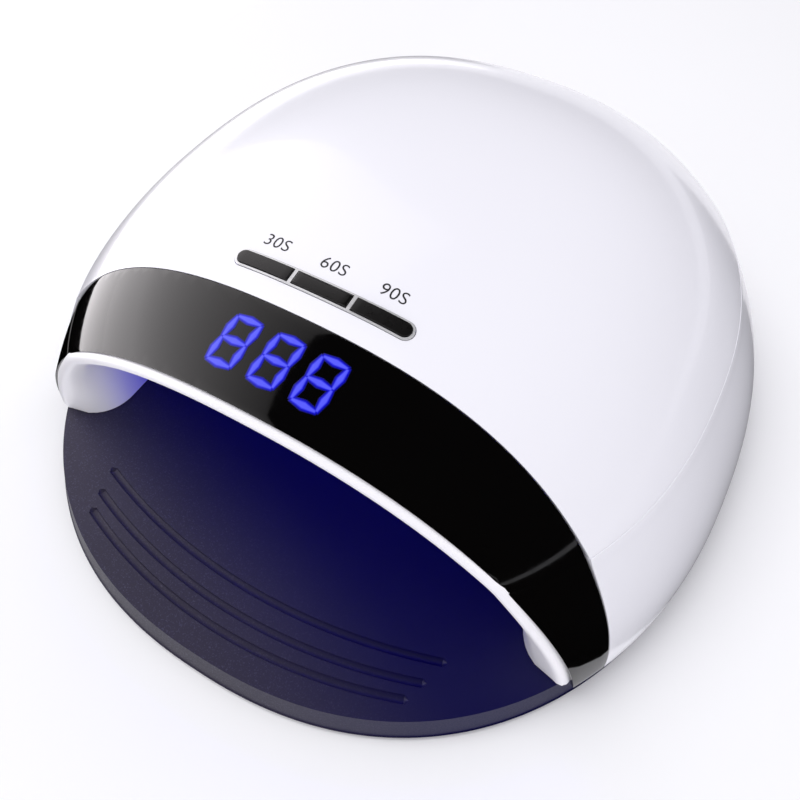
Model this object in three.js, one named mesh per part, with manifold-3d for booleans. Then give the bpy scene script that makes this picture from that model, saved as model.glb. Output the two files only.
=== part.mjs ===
// A dome-shaped UV curing lamp: a tray on rubber feet carries a lift-off housing
// with a reflector, LED boards, a front display band and three timer buttons.
// Millimetres, +Z up, the opening faces -Y, X runs left to right.
import * as THREE from "three";
import { mergeVertices } from "three/addons/utils/BufferGeometryUtils.js";
import Module from "manifold-3d";

const wasm = await Module();
wasm.setup();

// ---------------------------------------------------------------- driving dimensions

// Housing dome: every level is a rounded oval, scaled down and moved forward with height.
const DOME_FOOT = 2.2;
const HALF_WIDTH = 102.5;
const HALF_DEPTH = 117.1;
const DOME_HEIGHT = 83.8;
const OVAL_POWER = 2.27;
const CREASE_HEIGHT = 48;
const CREASE_SCALE = 0.824;
const SKIRT_BULGE = 1.78;
const CAP_POWER = 1.1;
const CAP_ROOT = 3.2;
const FORWARD_LEAN = 8;

// Front opening and band: two planes that cut the dome, each a place and a lean.
const TRAY_REACH = 43.9;
const OPENING_Y = -(HALF_DEPTH - TRAY_REACH);
const OPENING_LEAN = -0.077;
const BAND_WIDTH = 7;
const BAND_BACK_Y = OPENING_Y + BAND_WIDTH;
const BAND_BACK_LEAN = 0.108;
const BAND_THICKNESS = 1.3;
const SHELL_WALL = 2.8;

// Heights of the stack, from the table up.
const FOOT_HEIGHT = 1.5;
const FOOT_SINK = 1;
const TRAY_TOP = 9;
const TRAY_EDGE = 1;
const TRAY_SLOPE = 2.6;
const SKIRT_BOTTOM = 8;
const FRAME_THICKNESS = 2.6;
const FRAME_SETBACK = 14;

// Reflector: its own smaller dome, open at the front, set in from the housing.
const REFLECTOR_WALL = 1.2;
const SIDE_SPACE = 33;
const REAR_SPACE = 42;
const ROOF_SPACE = 13.8;
const REFLECTOR_SETBACK = 50;
const REFLECTOR_CENTRE_Y = OPENING_Y + REFLECTOR_SETBACK;
const REFLECTOR_HALF_WIDTH = HALF_WIDTH - SIDE_SPACE;
const REFLECTOR_HALF_DEPTH = HALF_DEPTH - REAR_SPACE - REFLECTOR_CENTRE_Y;
const REFLECTOR_HEIGHT = DOME_HEIGHT - ROOF_SPACE;
const REFLECTOR_POWER = 3;
const REFLECTOR_SHOULDER_HEIGHT = 40;
const REFLECTOR_SHOULDER_SCALE = 0.89;
const REFLECTOR_CAP_POWER = 2;
const REFLECTOR_CAP_ROOT = 2.5;
const FLANGE_THICKNESS = 1.4;

// Tray details.
const TRAY_PLATE = 2.6;
const TRAY_RIM = 7.5;
const TRAY_RIB = 2;
const TRAY_RIB_XS = [-30, 0, 30];
const PAD_WALL = 2;
const GROOVE_INSETS = [23.4, 16.2, 10.5];
const GROOVE_HALF_SPANS = [55, 53, 51];
const GROOVE_SAG = 9.5;
const GROOVE_WIDTH = 2.4;
const GROOVE_DEPTH = 0.9;
const FOOT_RADIUS = 7;
const FOOT_ANGLES = [-52, 52];
const FOOT_INSET = 24;
const MAGNET_RADIUS = 4;
const MAGNET_HEIGHT = 1.6;
const MAGNET_ANGLES = [-19, 22];
const MAGNET_INSET = 13.5;

// Screws and bosses that join frame and shell.
const SCREW_RADIUS = 1.4;
const SCREW_LENGTH = 9;
const SCREW_HEAD_RADIUS = 2.7;
const SCREW_HEAD_HEIGHT = 1.2;
const BOSS_RADIUS = 3.4;
const BOSS_HEIGHT = 17;
const SCREW_ANGLES = [-25, 38];
const BOSS_SETBACK = 1.5;

// Buttons, in one row along X on the cap behind the band.
const BUTTON_SETBACK = 23.4;
const BUTTON_Y = OPENING_Y + BUTTON_SETBACK;
const BUTTON_LENGTH = 13.9;
const BUTTON_WIDTH = 3;
const BUTTON_PITCH = 15.1;
const BUTTON_PROUD = 0.7;
const BUTTON_DEPTH = 3.2;
const BUTTON_TRAVEL = 0.8;
const BEZEL_RIM = 0.5;
const BEZEL_PROUD = 0.25;
const BEZEL_DEPTH = 3.4;

// Display behind the band.
const DISPLAY_SETBACK = 5.5;
const DISPLAY_Y = OPENING_Y + DISPLAY_SETBACK;
const DISPLAY_LENGTH = 31;
const DISPLAY_WIDTH = 12.6;
const DISPLAY_DEPTH = 1.9;
const DISPLAY_SINK = 2.7;

// LED boards and lamps.
const BOARD_THICKNESS = 1.6;
const LED_RADIUS = 3.6;
const LED_LENGTH = 6.2;
const ROOF_BOARD_SIZE = [66, 39];
const ROOF_LED_XS = [-24, 0, 24];
const ROOF_LED_YS = [-13, 13];
const SIDE_BOARD_SIZE = [50, 18];
const SIDE_BOARD_Y = REFLECTOR_CENTRE_Y + 6;
const SIDE_BOARD_Z = 27;
const SIDE_LED_YS = [-17, 0, 17];

// Rear electronics.
const CONTROL_BOARD_SIZE = [66, 24];
const JACK_SIZE = [9, 12, 9.6];
const JACK_BARREL_RADIUS = 3.9;
const JACK_BARREL_LENGTH = 7;
const JACK_BORE_RADIUS = 2.8;
const JACK_BORE_DEPTH = 12;
const JACK_PIN_RADIUS = 1;

// Clearances.
const GAP = 0.3;
const SLIDE_GAP = 0.25;

// Round resolution.
const AROUND = 64;
const ROUND_SMALL = 16;

// ---------------------------------------------------------------- solids and placing

// Closed geometry with no uv or normal seams, as a manifold solid.
function solid(geometry) {
  const bare = geometry.index ? geometry.toNonIndexed() : geometry.clone();
  bare.deleteAttribute("normal");
  bare.deleteAttribute("uv");
  const merged = mergeVertices(bare, 1e-4);
  return new wasm.Manifold(new wasm.Mesh({
    numProp: 3,
    vertProperties: new Float32Array(merged.attributes.position.array),
    triVerts: new Uint32Array(merged.index.array),
  }));
}

// A manifold solid back as three.js geometry.
function geometryOf(manifold) {
  const mesh = manifold.getMesh();
  const geometry = new THREE.BufferGeometry();
  geometry.setAttribute("position", new THREE.BufferAttribute(mesh.vertProperties, 3));
  geometry.setIndex(new THREE.BufferAttribute(mesh.triVerts, 1));
  return geometry;
}

// Box with its lower centre at the given point.
function boxAt(sizeX, sizeY, sizeZ, x, y, z) {
  return new THREE.BoxGeometry(sizeX, sizeY, sizeZ).translate(x, y, z + sizeZ / 2);
}

// Upright cylinder with the centre of its lower face at the given point.
function discAt(radius, height, x, y, z, sides = ROUND_SMALL) {
  return new THREE.CylinderGeometry(radius, radius, height, sides)
    .rotateX(Math.PI / 2).translate(x, y, z + height / 2);
}

// Everything in front of a leaning cut plane, or behind it when side is +1.
function halfSpace(planeY, lean, side) {
  const reach = 400;
  const tall = 200;
  const block = new THREE.BoxGeometry(reach, reach, tall);
  const place = block.attributes.position;
  for (let i = 0; i < place.count; i += 1) {
    const z = place.getZ(i);
    const onPlane = place.getY(i) * side < 0;
    const y = planeY + lean * z + (onPlane ? 0 : side * reach);
    place.setXYZ(i, place.getX(i), y, z);
  }
  return solid(block);
}

// ---------------------------------------------------------------- dome family

// Scale of the housing's section at a height, for a dome of the given top height.
function domeScale(z, top) {
  if (z <= CREASE_HEIGHT) {
    const rise = Math.max(z - DOME_FOOT, 0) / (CREASE_HEIGHT - DOME_FOOT);
    return 1 - (1 - CREASE_SCALE) * rise ** SKIRT_BULGE;
  }
  const t = Math.min((z - CREASE_HEIGHT) / (top - CREASE_HEIGHT), 1);
  return CREASE_SCALE * (1 - t ** CAP_POWER) ** (1 / CAP_ROOT);
}

// Levels from the bottom to the crease and then, closer together, up to the top.
function levels(bottom, shoulder, top, lower, upper) {
  const list = [];
  for (let i = 0; i < lower; i += 1) {
    list.push(bottom + (shoulder - bottom) * (i / lower));
  }
  for (let i = 0; i <= upper; i += 1) {
    list.push(shoulder + (top - shoulder) * Math.sin((i / upper) * Math.PI / 2));
  }
  return list;
}

// A unit lathe turned into ovals: halfX, halfY, power and centre place each level.
function ovalLathe(profile, around, shape) {
  const points = profile.map(([scale, z]) => new THREE.Vector2(scale, z));
  const lathe = new THREE.LatheGeometry(points, around).rotateX(Math.PI / 2);
  const place = lathe.attributes.position;
  for (let i = 0; i < place.count; i += 1) {
    const x = place.getX(i);
    const y = place.getY(i);
    const z = place.getZ(i);
    const radius = Math.hypot(x, y);
    if (radius > 1e-9) {
      const bend = 2 / shape.power;
      const nx = Math.sign(x) * Math.abs(x / radius) ** bend;
      const ny = Math.sign(y) * Math.abs(y / radius) ** bend;
      place.setXYZ(i, shape.halfX * radius * nx, shape.halfY * radius * ny + shape.centre(z), z);
    } else {
      place.setXYZ(i, 0, shape.centre(z), z);
    }
  }
  return solid(lathe);
}

// Housing centre line: the sections move forward with height.
function domeCentre(z) {
  return -FORWARD_LEAN * (z - DOME_FOOT) / (DOME_HEIGHT - DOME_FOOT);
}

// The housing's dome, drawn in by the given depth, from a bottom height up.
function dome(inset, bottom = SKIRT_BOTTOM, around = AROUND) {
  const top = DOME_HEIGHT - inset;
  const heights = levels(bottom, CREASE_HEIGHT, top, 4, 10);
  const profile = heights.map((z) => [Math.max(domeScale(z, top), 0), z]);
  profile[profile.length - 1][0] = 0;
  return ovalLathe([[0, bottom], ...profile], around, {
    halfX: HALF_WIDTH - inset,
    halfY: HALF_DEPTH - inset,
    power: OVAL_POWER,
    centre: domeCentre,
  });
}

// Outside surface of the dome along the middle line, at a place behind or before it.
function domeTopAt(y, x = 0) {
  let low = CREASE_HEIGHT;
  let high = DOME_HEIGHT;
  for (let i = 0; i < 40; i += 1) {
    const z = (low + high) / 2;
    const scale = domeScale(z, DOME_HEIGHT);
    const u = Math.abs(x) / (HALF_WIDTH * scale);
    const v = Math.abs(y - domeCentre(z)) / (HALF_DEPTH * scale);
    if (u ** OVAL_POWER + v ** OVAL_POWER < 1) {
      low = z;
    } else {
      high = z;
    }
  }
  return low;
}

// Outside surface of the dome at the rear, at a height.
function domeRearAt(z) {
  return HALF_DEPTH * domeScale(z, DOME_HEIGHT) + domeCentre(z);
}

// The reflector's dome, grown outward by the given amount.
function reflectorDome(grow, bottom) {
  const top = REFLECTOR_HEIGHT + grow;
  const shoulder = REFLECTOR_SHOULDER_HEIGHT;
  const heights = levels(bottom, shoulder, top, 2, 8);
  const profile = heights.map((z) => {
    if (z <= shoulder) {
      return [1 - (1 - REFLECTOR_SHOULDER_SCALE) * (z / shoulder), z];
    }
    const t = Math.min((z - shoulder) / (top - shoulder), 1);
    const cap = (1 - t ** REFLECTOR_CAP_POWER) ** (1 / REFLECTOR_CAP_ROOT);
    return [REFLECTOR_SHOULDER_SCALE * cap, z];
  });
  profile[profile.length - 1][0] = 0;
  return ovalLathe([[0, bottom], ...profile], 56, {
    halfX: REFLECTOR_HALF_WIDTH + grow,
    halfY: REFLECTOR_HALF_DEPTH + grow,
    power: REFLECTOR_POWER,
    centre: () => REFLECTOR_CENTRE_Y,
  });
}

// ---------------------------------------------------------------- shared places

const FRAME_BOTTOM = TRAY_TOP + GAP;
const FRAME_TOP = FRAME_BOTTOM + FRAME_THICKNESS;
const TRAY_BOTTOM = FOOT_HEIGHT;

// Point inside the housing's section at a height, an angle from +X and an inset.
function ovalPoint(angle, inset, z) {
  const c = Math.cos(THREE.MathUtils.degToRad(angle));
  const s = Math.sin(THREE.MathUtils.degToRad(angle));
  const bend = 2 / OVAL_POWER;
  const scale = domeScale(z, DOME_HEIGHT);
  return [
    Math.sign(c) * Math.abs(c) ** bend * (HALF_WIDTH * scale - inset),
    Math.sign(s) * Math.abs(s) ** bend * (HALF_DEPTH * scale - inset) + domeCentre(z),
  ];
}

// The same angles on the left and on the right.
function bothSides(angles, inset, z) {
  const right = angles.map((angle) => ovalPoint(angle, inset, z));
  return [...right.map(([x, y]) => [-x, y]), ...right];
}

const magnetSpots = bothSides(MAGNET_ANGLES, MAGNET_INSET, FRAME_BOTTOM);
const footSpots = bothSides(FOOT_ANGLES, FOOT_INSET, DOME_FOOT);
const screwInset = SHELL_WALL + BOSS_SETBACK + BOSS_RADIUS;
const screwSpots = bothSides(SCREW_ANGLES, screwInset, FRAME_TOP);

// Local frame on the cap's middle line: Z outward, X along the row, origin on the surface.
function capFrame(y) {
  const reach = 1.5;
  const tilt = Math.atan2(domeTopAt(y + reach) - domeTopAt(y - reach), 2 * reach);
  return new THREE.Matrix4().makeTranslation(0, y, domeTopAt(y))
    .multiply(new THREE.Matrix4().makeRotationX(tilt));
}

const buttonFrame = capFrame(BUTTON_Y);
const displayFrame = capFrame(DISPLAY_Y);
const buttonSpots = [-BUTTON_PITCH, 0, BUTTON_PITCH];
const BEZEL_LENGTH = 2 * BUTTON_PITCH + BUTTON_LENGTH + 2 * (SLIDE_GAP + BEZEL_RIM);
const BEZEL_WIDTH = BUTTON_WIDTH + 2 * (SLIDE_GAP + BEZEL_RIM);

// Stadium prism in a local frame, centred in X and Y, from low to high along local Z.
function stadium(length, width, low, high, x = 0, leftRound = true, rightRound = true) {
  const half = length / 2;
  const r = width / 2;
  const shape = new THREE.Shape();
  if (rightRound) {
    shape.absarc(x + half - r, 0, r, -Math.PI / 2, Math.PI / 2, false);
  } else {
    shape.moveTo(x + half, -r);
    shape.lineTo(x + half, r);
  }
  if (leftRound) {
    shape.absarc(x - half + r, 0, r, Math.PI / 2, Math.PI * 1.5, false);
  } else {
    shape.lineTo(x - half, r);
    shape.lineTo(x - half, -r);
  }
  shape.closePath();
  return new THREE.ExtrudeGeometry(shape, {
    depth: high - low, bevelEnabled: false, curveSegments: 8,
  }).translate(0, 0, low);
}

// ---------------------------------------------------------------- tray and its parts

// Tray: oval plate with sloping sides, stepped down under the housing's skirt.
function trayBody() {
  const soft = TRAY_EDGE;
  const profile = [
    [0, TRAY_BOTTOM],
    [1 - soft / HALF_DEPTH, TRAY_BOTTOM],
    [1, TRAY_BOTTOM + soft],
    [1 - TRAY_SLOPE / HALF_DEPTH, TRAY_TOP - soft],
    [1 - (TRAY_SLOPE + 0.3 * soft) / HALF_DEPTH, TRAY_TOP - 0.3 * soft],
    [1 - (TRAY_SLOPE + soft) / HALF_DEPTH, TRAY_TOP],
    [0, TRAY_TOP],
  ];
  const full = ovalLathe(profile, AROUND, {
    halfX: HALF_WIDTH, halfY: HALF_DEPTH, power: OVAL_POWER, centre: () => 0,
  });
  const housingSide = halfSpace(OPENING_Y - GAP, OPENING_LEAN, 1);
  const underSkirt = solid(boxAt(400, 400, TRAY_TOP, 0, 0, SKIRT_BOTTOM - GAP));
  const insideSkirt = dome(SHELL_WALL + GAP, 0);
  return full.subtract(housingSide.intersect(underSkirt).subtract(insideSkirt));
}

// One shallow curved groove across the front of the tray.
function groove(y, halfSpan) {
  const start = new THREE.Vector3(-halfSpan, y + GROOVE_SAG, TRAY_TOP);
  const middle = new THREE.Vector3(0, y - GROOVE_SAG, TRAY_TOP);
  const end = new THREE.Vector3(halfSpan, y + GROOVE_SAG, TRAY_TOP);
  const route = new THREE.QuadraticBezierCurve3(start, middle, end);
  const section = new THREE.Shape();
  section.moveTo(-GROOVE_DEPTH, 0);
  section.lineTo(0, GROOVE_WIDTH / 2);
  section.lineTo(1, GROOVE_WIDTH / 2);
  section.lineTo(1, -GROOVE_WIDTH / 2);
  section.lineTo(0, -GROOVE_WIDTH / 2);
  section.closePath();
  return solid(new THREE.ExtrudeGeometry(section, {
    steps: 28, bevelEnabled: false, extrudePath: route,
  }));
}

// Underside pocket with ribs, leaving a pad over every foot and steel disc.
function underPocket() {
  const low = TRAY_BOTTOM - 1;
  const high = TRAY_TOP - TRAY_PLATE;
  let pocket = ovalLathe([[0, low], [1, low], [1, high], [0, high]], AROUND / 2, {
    halfX: HALF_WIDTH - TRAY_RIM, halfY: HALF_DEPTH - TRAY_RIM, power: OVAL_POWER, centre: () => 0,
  });
  for (const x of TRAY_RIB_XS) {
    pocket = pocket.subtract(solid(boxAt(TRAY_RIB, 2 * HALF_DEPTH, TRAY_TOP, x, 0, 0)));
  }
  pocket = pocket.subtract(solid(boxAt(2 * HALF_WIDTH, TRAY_RIB, TRAY_TOP, 0, 0, 0)));
  for (const [x, y] of footSpots) {
    pocket = pocket.subtract(solid(discAt(FOOT_RADIUS + GAP + PAD_WALL, TRAY_TOP, x, y, 0)));
  }
  for (const [x, y] of magnetSpots) {
    pocket = pocket.subtract(solid(discAt(MAGNET_RADIUS + GAP + PAD_WALL, TRAY_TOP, x, y, 0)));
  }
  return pocket;
}

function makeTray() {
  let tray = trayBody().subtract(underPocket());
  GROOVE_INSETS.forEach((inset, i) => {
    tray = tray.subtract(groove(inset - HALF_DEPTH, GROOVE_HALF_SPANS[i]));
  });
  for (const [x, y] of footSpots) {
    tray = tray.subtract(solid(discAt(FOOT_RADIUS + GAP, FOOT_SINK + 1, x, y, TRAY_BOTTOM - 1)));
  }
  for (const [x, y] of magnetSpots) {
    const floor = TRAY_TOP - MAGNET_HEIGHT - 2 * GAP;
    tray = tray.subtract(solid(discAt(MAGNET_RADIUS + GAP, MAGNET_HEIGHT + 2, x, y, floor)));
  }
  return tray;
}

function makeFoot([x, y]) {
  return discAt(FOOT_RADIUS, FOOT_HEIGHT + FOOT_SINK - GAP, x, y, 0);
}

function makeTrayDisc([x, y]) {
  return discAt(MAGNET_RADIUS, MAGNET_HEIGHT, x, y, TRAY_TOP - MAGNET_HEIGHT - GAP);
}

// ---------------------------------------------------------------- housing shells

const openFront = halfSpace(OPENING_Y, OPENING_LEAN, 1);
const shellFront = halfSpace(OPENING_Y + FLANGE_THICKNESS + GAP, OPENING_LEAN, 1);
const bandBack = halfSpace(BAND_BACK_Y, BAND_BACK_LEAN, -1);
const recessBack = halfSpace(BAND_BACK_Y + GAP, BAND_BACK_LEAN, -1);
const flangeBack = halfSpace(OPENING_Y + FLANGE_THICKNESS, OPENING_LEAN, -1);

const JACK_CENTRE_Z = FRAME_TOP + GAP + BOARD_THICKNESS + GAP + JACK_SIZE[2] / 2;
const JACK_FACE_Y = domeRearAt(JACK_CENTRE_Z) - 1.5;

// Cylinder that runs back along +Y from a start, on the jack's axis.
function jackAxisDisc(radius, startY, length, sides = ROUND_SMALL) {
  return new THREE.CylinderGeometry(radius, radius, length, sides)
    .translate(0, startY + length / 2, JACK_CENTRE_Z);
}

function makeTopShell() {
  let shell = dome(0).subtract(dome(SHELL_WALL, SKIRT_BOTTOM - 1)).intersect(shellFront);
  const recess = dome(-2).subtract(dome(BAND_THICKNESS + GAP, SKIRT_BOTTOM - 2));
  shell = shell.subtract(recess.intersect(recessBack));
  const inner = dome(SHELL_WALL - 0.2, SKIRT_BOTTOM - 1);
  for (const [x, y] of screwSpots) {
    const boss = solid(discAt(BOSS_RADIUS, BOSS_HEIGHT, x, y, FRAME_TOP + GAP));
    const bore = solid(discAt(SCREW_RADIUS + 0.05, SCREW_LENGTH, x, y, FRAME_TOP));
    shell = shell.add(boss.intersect(inner)).subtract(bore);
  }
  const slot = stadium(BEZEL_LENGTH + 2 * GAP, BEZEL_WIDTH + 2 * GAP, -12, 8);
  shell = shell.subtract(solid(slot.applyMatrix4(buttonFrame)));
  const pane = new THREE.BoxGeometry(DISPLAY_LENGTH + 2 * GAP, DISPLAY_WIDTH + 2 * GAP, 12);
  shell = shell.subtract(solid(pane.applyMatrix4(displayFrame)));
  return shell.subtract(solid(jackAxisDisc(JACK_BARREL_RADIUS + GAP, JACK_FACE_Y - 12, 24)));
}

function makeBand() {
  return dome(0).subtract(dome(BAND_THICKNESS, SKIRT_BOTTOM - 1))
    .intersect(openFront).intersect(bandBack);
}

function makeReflector() {
  const cavity = reflectorDome(0, TRAY_TOP - 4)
    .intersect(dome(SHELL_WALL + GAP + REFLECTOR_WALL, 0));
  const aboveTray = solid(boxAt(400, 400, 200, 0, 0, FRAME_BOTTOM));
  const flange = dome(BAND_THICKNESS + GAP).intersect(openFront).intersect(flangeBack);
  const liner = reflectorDome(REFLECTOR_WALL, TRAY_TOP - 4)
    .intersect(dome(SHELL_WALL + GAP, 0)).intersect(openFront);
  let reflector = liner.add(flange).subtract(cavity).intersect(aboveTray);
  for (const hole of ledHoles()) {
    reflector = reflector.subtract(hole);
  }
  return reflector;
}

// ---------------------------------------------------------------- frame, magnets, screws

function makeFrame() {
  const skirtInner = dome(SHELL_WALL + GAP, FRAME_BOTTOM - 2);
  const slab = solid(boxAt(400, 400, FRAME_THICKNESS, 0, 0, FRAME_BOTTOM));
  const frontLimit = halfSpace(OPENING_Y + FRAME_SETBACK, OPENING_LEAN, 1);
  let frame = slab.intersect(skirtInner).intersect(frontLimit)
    .subtract(reflectorDome(REFLECTOR_WALL + GAP, TRAY_TOP - 6));
  for (const [x, y] of magnetSpots) {
    frame = frame.subtract(
      solid(discAt(MAGNET_RADIUS + GAP, MAGNET_HEIGHT + GAP + 1, x, y, FRAME_BOTTOM - 1)),
    );
  }
  for (const [x, y] of screwSpots) {
    frame = frame.subtract(solid(discAt(SCREW_RADIUS + GAP, 10, x, y, FRAME_BOTTOM - 3)));
    frame = frame.subtract(
      solid(discAt(SCREW_HEAD_RADIUS + GAP, SCREW_HEAD_HEIGHT + GAP + 1, x, y, FRAME_BOTTOM - 1)),
    );
  }
  return frame;
}

function makeFrameMagnet([x, y]) {
  return discAt(MAGNET_RADIUS, MAGNET_HEIGHT - GAP, x, y, FRAME_BOTTOM + GAP);
}

// Pan-head screw, head down, as one lathe profile.
function makeScrew([x, y]) {
  const low = FRAME_BOTTOM + 0.1;
  const points = [
    new THREE.Vector2(0, low),
    new THREE.Vector2(SCREW_HEAD_RADIUS, low),
    new THREE.Vector2(SCREW_HEAD_RADIUS, low + SCREW_HEAD_HEIGHT),
    new THREE.Vector2(SCREW_RADIUS - 0.1, low + SCREW_HEAD_HEIGHT),
    new THREE.Vector2(SCREW_RADIUS - 0.1, low + SCREW_LENGTH),
    new THREE.Vector2(0, low + SCREW_LENGTH),
  ];
  return new THREE.LatheGeometry(points, 12).rotateX(Math.PI / 2).translate(x, y, 0);
}

// ---------------------------------------------------------------- LED lamps and boards

const ROOF_BOARD_Z = REFLECTOR_HEIGHT + REFLECTOR_WALL + 2.4;
const SIDE_BOARD_X = REFLECTOR_HALF_WIDTH + REFLECTOR_WALL + 1.2;

// Every LED lamp's place: base point and the direction its lens looks.
function ledPlaces() {
  const places = [];
  for (const y of ROOF_LED_YS) {
    for (const x of ROOF_LED_XS) {
      places.push({ at: [x, REFLECTOR_CENTRE_Y + y, ROOF_BOARD_Z - GAP], look: [0, 0, -1] });
    }
  }
  for (const side of [-1, 1]) {
    for (const y of SIDE_LED_YS) {
      const x = side * (SIDE_BOARD_X - GAP);
      places.push({ at: [x, SIDE_BOARD_Y + y, SIDE_BOARD_Z], look: [-side, 0, 0] });
    }
  }
  return places;
}

// Turn a piece built along +Z at the origin so that it looks along a direction.
function lookAlong(geometry, place) {
  const turn = new THREE.Quaternion().setFromUnitVectors(
    new THREE.Vector3(0, 0, 1), new THREE.Vector3(...place.look),
  );
  return geometry.applyQuaternion(turn).translate(...place.at);
}

// LED lamp: short round body with a domed lens.
function makeLed(place) {
  const bodyEnd = LED_LENGTH - LED_RADIUS * 0.8;
  const points = [new THREE.Vector2(0, 0), new THREE.Vector2(LED_RADIUS, 0)];
  for (let i = 0; i < 4; i += 1) {
    const angle = (i / 4) * Math.PI / 2;
    points.push(new THREE.Vector2(
      LED_RADIUS * Math.cos(angle), bodyEnd + LED_RADIUS * 0.8 * Math.sin(angle),
    ));
  }
  points.push(new THREE.Vector2(0, LED_LENGTH));
  return lookAlong(new THREE.LatheGeometry(points, 14).rotateX(Math.PI / 2), place);
}

function ledHoles() {
  return ledPlaces().map((place) => {
    const hole = new THREE.CylinderGeometry(LED_RADIUS + GAP, LED_RADIUS + GAP, 24, 16);
    return solid(lookAlong(hole.rotateX(Math.PI / 2), place));
  });
}

function makeRoofBoard() {
  return boxAt(...ROOF_BOARD_SIZE, BOARD_THICKNESS, 0, REFLECTOR_CENTRE_Y, ROOF_BOARD_Z);
}

function makeSideBoard(side) {
  const [long, tall] = SIDE_BOARD_SIZE;
  const x = side * (SIDE_BOARD_X + BOARD_THICKNESS / 2);
  return boxAt(BOARD_THICKNESS, long, tall, x, SIDE_BOARD_Y, SIDE_BOARD_Z - tall / 2);
}

// ---------------------------------------------------------------- buttons and display

// Prism along the button row's normal, kept to the layer between two dome depths.
function capLayer(prism, frame, high, low) {
  const layer = dome(-high).subtract(dome(low, SKIRT_BOTTOM - 1));
  return solid(prism.applyMatrix4(frame)).intersect(layer);
}

function buttonOutline(index, grow, low, high) {
  return stadium(
    BUTTON_LENGTH + 2 * grow, BUTTON_WIDTH + 2 * grow, low, high,
    buttonSpots[index], index === 0, index === 2,
  );
}

function makeBezel() {
  let bezel = capLayer(stadium(BEZEL_LENGTH, BEZEL_WIDTH, -12, 8), buttonFrame,
    BEZEL_PROUD, BEZEL_DEPTH);
  for (let i = 0; i < buttonSpots.length; i += 1) {
    bezel = bezel.subtract(solid(buttonOutline(i, SLIDE_GAP, -12, 8).applyMatrix4(buttonFrame)));
  }
  return bezel;
}

function makeButton(index) {
  return capLayer(buttonOutline(index, 0, -12, 8), buttonFrame, BUTTON_PROUD, BUTTON_DEPTH);
}

const SWITCH_TOP = -(BUTTON_DEPTH + BUTTON_TRAVEL + 1.2);
const SWITCH_HEIGHT = 1.8;
const SWITCH_SIZE = 4.4;

function makeSwitch(index) {
  return new THREE.BoxGeometry(SWITCH_SIZE, SWITCH_SIZE, SWITCH_HEIGHT)
    .translate(buttonSpots[index], 0, SWITCH_TOP - SWITCH_HEIGHT / 2)
    .applyMatrix4(buttonFrame);
}

function makeButtonBoard() {
  const top = SWITCH_TOP - SWITCH_HEIGHT - GAP;
  return new THREE.BoxGeometry(BEZEL_LENGTH, SWITCH_SIZE + 2, BOARD_THICKNESS / 2)
    .translate(0, 0, top - BOARD_THICKNESS / 4)
    .applyMatrix4(buttonFrame);
}

function makeDisplay() {
  return new THREE.BoxGeometry(DISPLAY_LENGTH, DISPLAY_WIDTH, DISPLAY_DEPTH)
    .translate(0, 0, -DISPLAY_SINK - DISPLAY_DEPTH / 2)
    .applyMatrix4(displayFrame);
}

// ---------------------------------------------------------------- rear electronics

const CONTROL_BOARD_Y = JACK_FACE_Y - JACK_BARREL_LENGTH - CONTROL_BOARD_SIZE[1] / 2;

function makeControlBoard() {
  const z = FRAME_TOP + GAP;
  return boxAt(...CONTROL_BOARD_SIZE, BOARD_THICKNESS, 0, CONTROL_BOARD_Y, z);
}

function makeJack() {
  const [wide, deep, tall] = JACK_SIZE;
  const bodyBack = JACK_FACE_Y - JACK_BARREL_LENGTH;
  const body = boxAt(wide, deep, tall, 0, bodyBack - deep / 2, JACK_CENTRE_Z - tall / 2);
  const barrel = jackAxisDisc(JACK_BARREL_RADIUS, bodyBack - 1, JACK_BARREL_LENGTH + 1);
  const bore = jackAxisDisc(JACK_BORE_RADIUS, JACK_FACE_Y - JACK_BORE_DEPTH, JACK_BORE_DEPTH + 1, 16);
  const pinStart = JACK_FACE_Y - JACK_BORE_DEPTH - 1;
  const pin = jackAxisDisc(JACK_PIN_RADIUS, pinStart, JACK_BORE_DEPTH - 0.5, 10);
  return solid(body).add(solid(barrel)).subtract(solid(bore)).add(solid(pin));
}

// ---------------------------------------------------------------- materials and assembly

const looks = {
  white: { color: 0xf0f1f6, roughness: 0.22, metalness: 0 },
  reflectorWhite: { color: 0xf4f5fa, roughness: 0.35, metalness: 0 },
  blackGloss: { color: 0x060607, roughness: 0.08, metalness: 0 },
  trayDark: { color: 0x23232e, roughness: 0.62, metalness: 0 },
  rubber: { color: 0x161618, roughness: 0.9, metalness: 0 },
  chrome: { color: 0xc8cad0, roughness: 0.12, metalness: 1 },
  steel: { color: 0x9a9da3, roughness: 0.35, metalness: 1 },
  board: { color: 0x1d5a36, roughness: 0.5, metalness: 0 },
  lens: { color: 0xd8dcf2, roughness: 0.1, metalness: 0 },
  display: { color: 0x0a0b14, roughness: 0.3, metalness: 0 },
  darkPlastic: { color: 0x1b1b1e, roughness: 0.5, metalness: 0 },
};
const materials = {};
for (const [name, values] of Object.entries(looks)) {
  materials[name] = new THREE.MeshStandardMaterial(values);
}

const lamp = new THREE.Group();
lamp.name = "uv_curing_lamp";

// Add one named part, from three.js geometry or from a manifold solid.
function addPart(name, shape, look) {
  const geometry = shape.isBufferGeometry ? shape : geometryOf(shape);
  const mesh = new THREE.Mesh(geometry, materials[look]);
  mesh.name = name;
  lamp.add(mesh);
}

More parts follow.
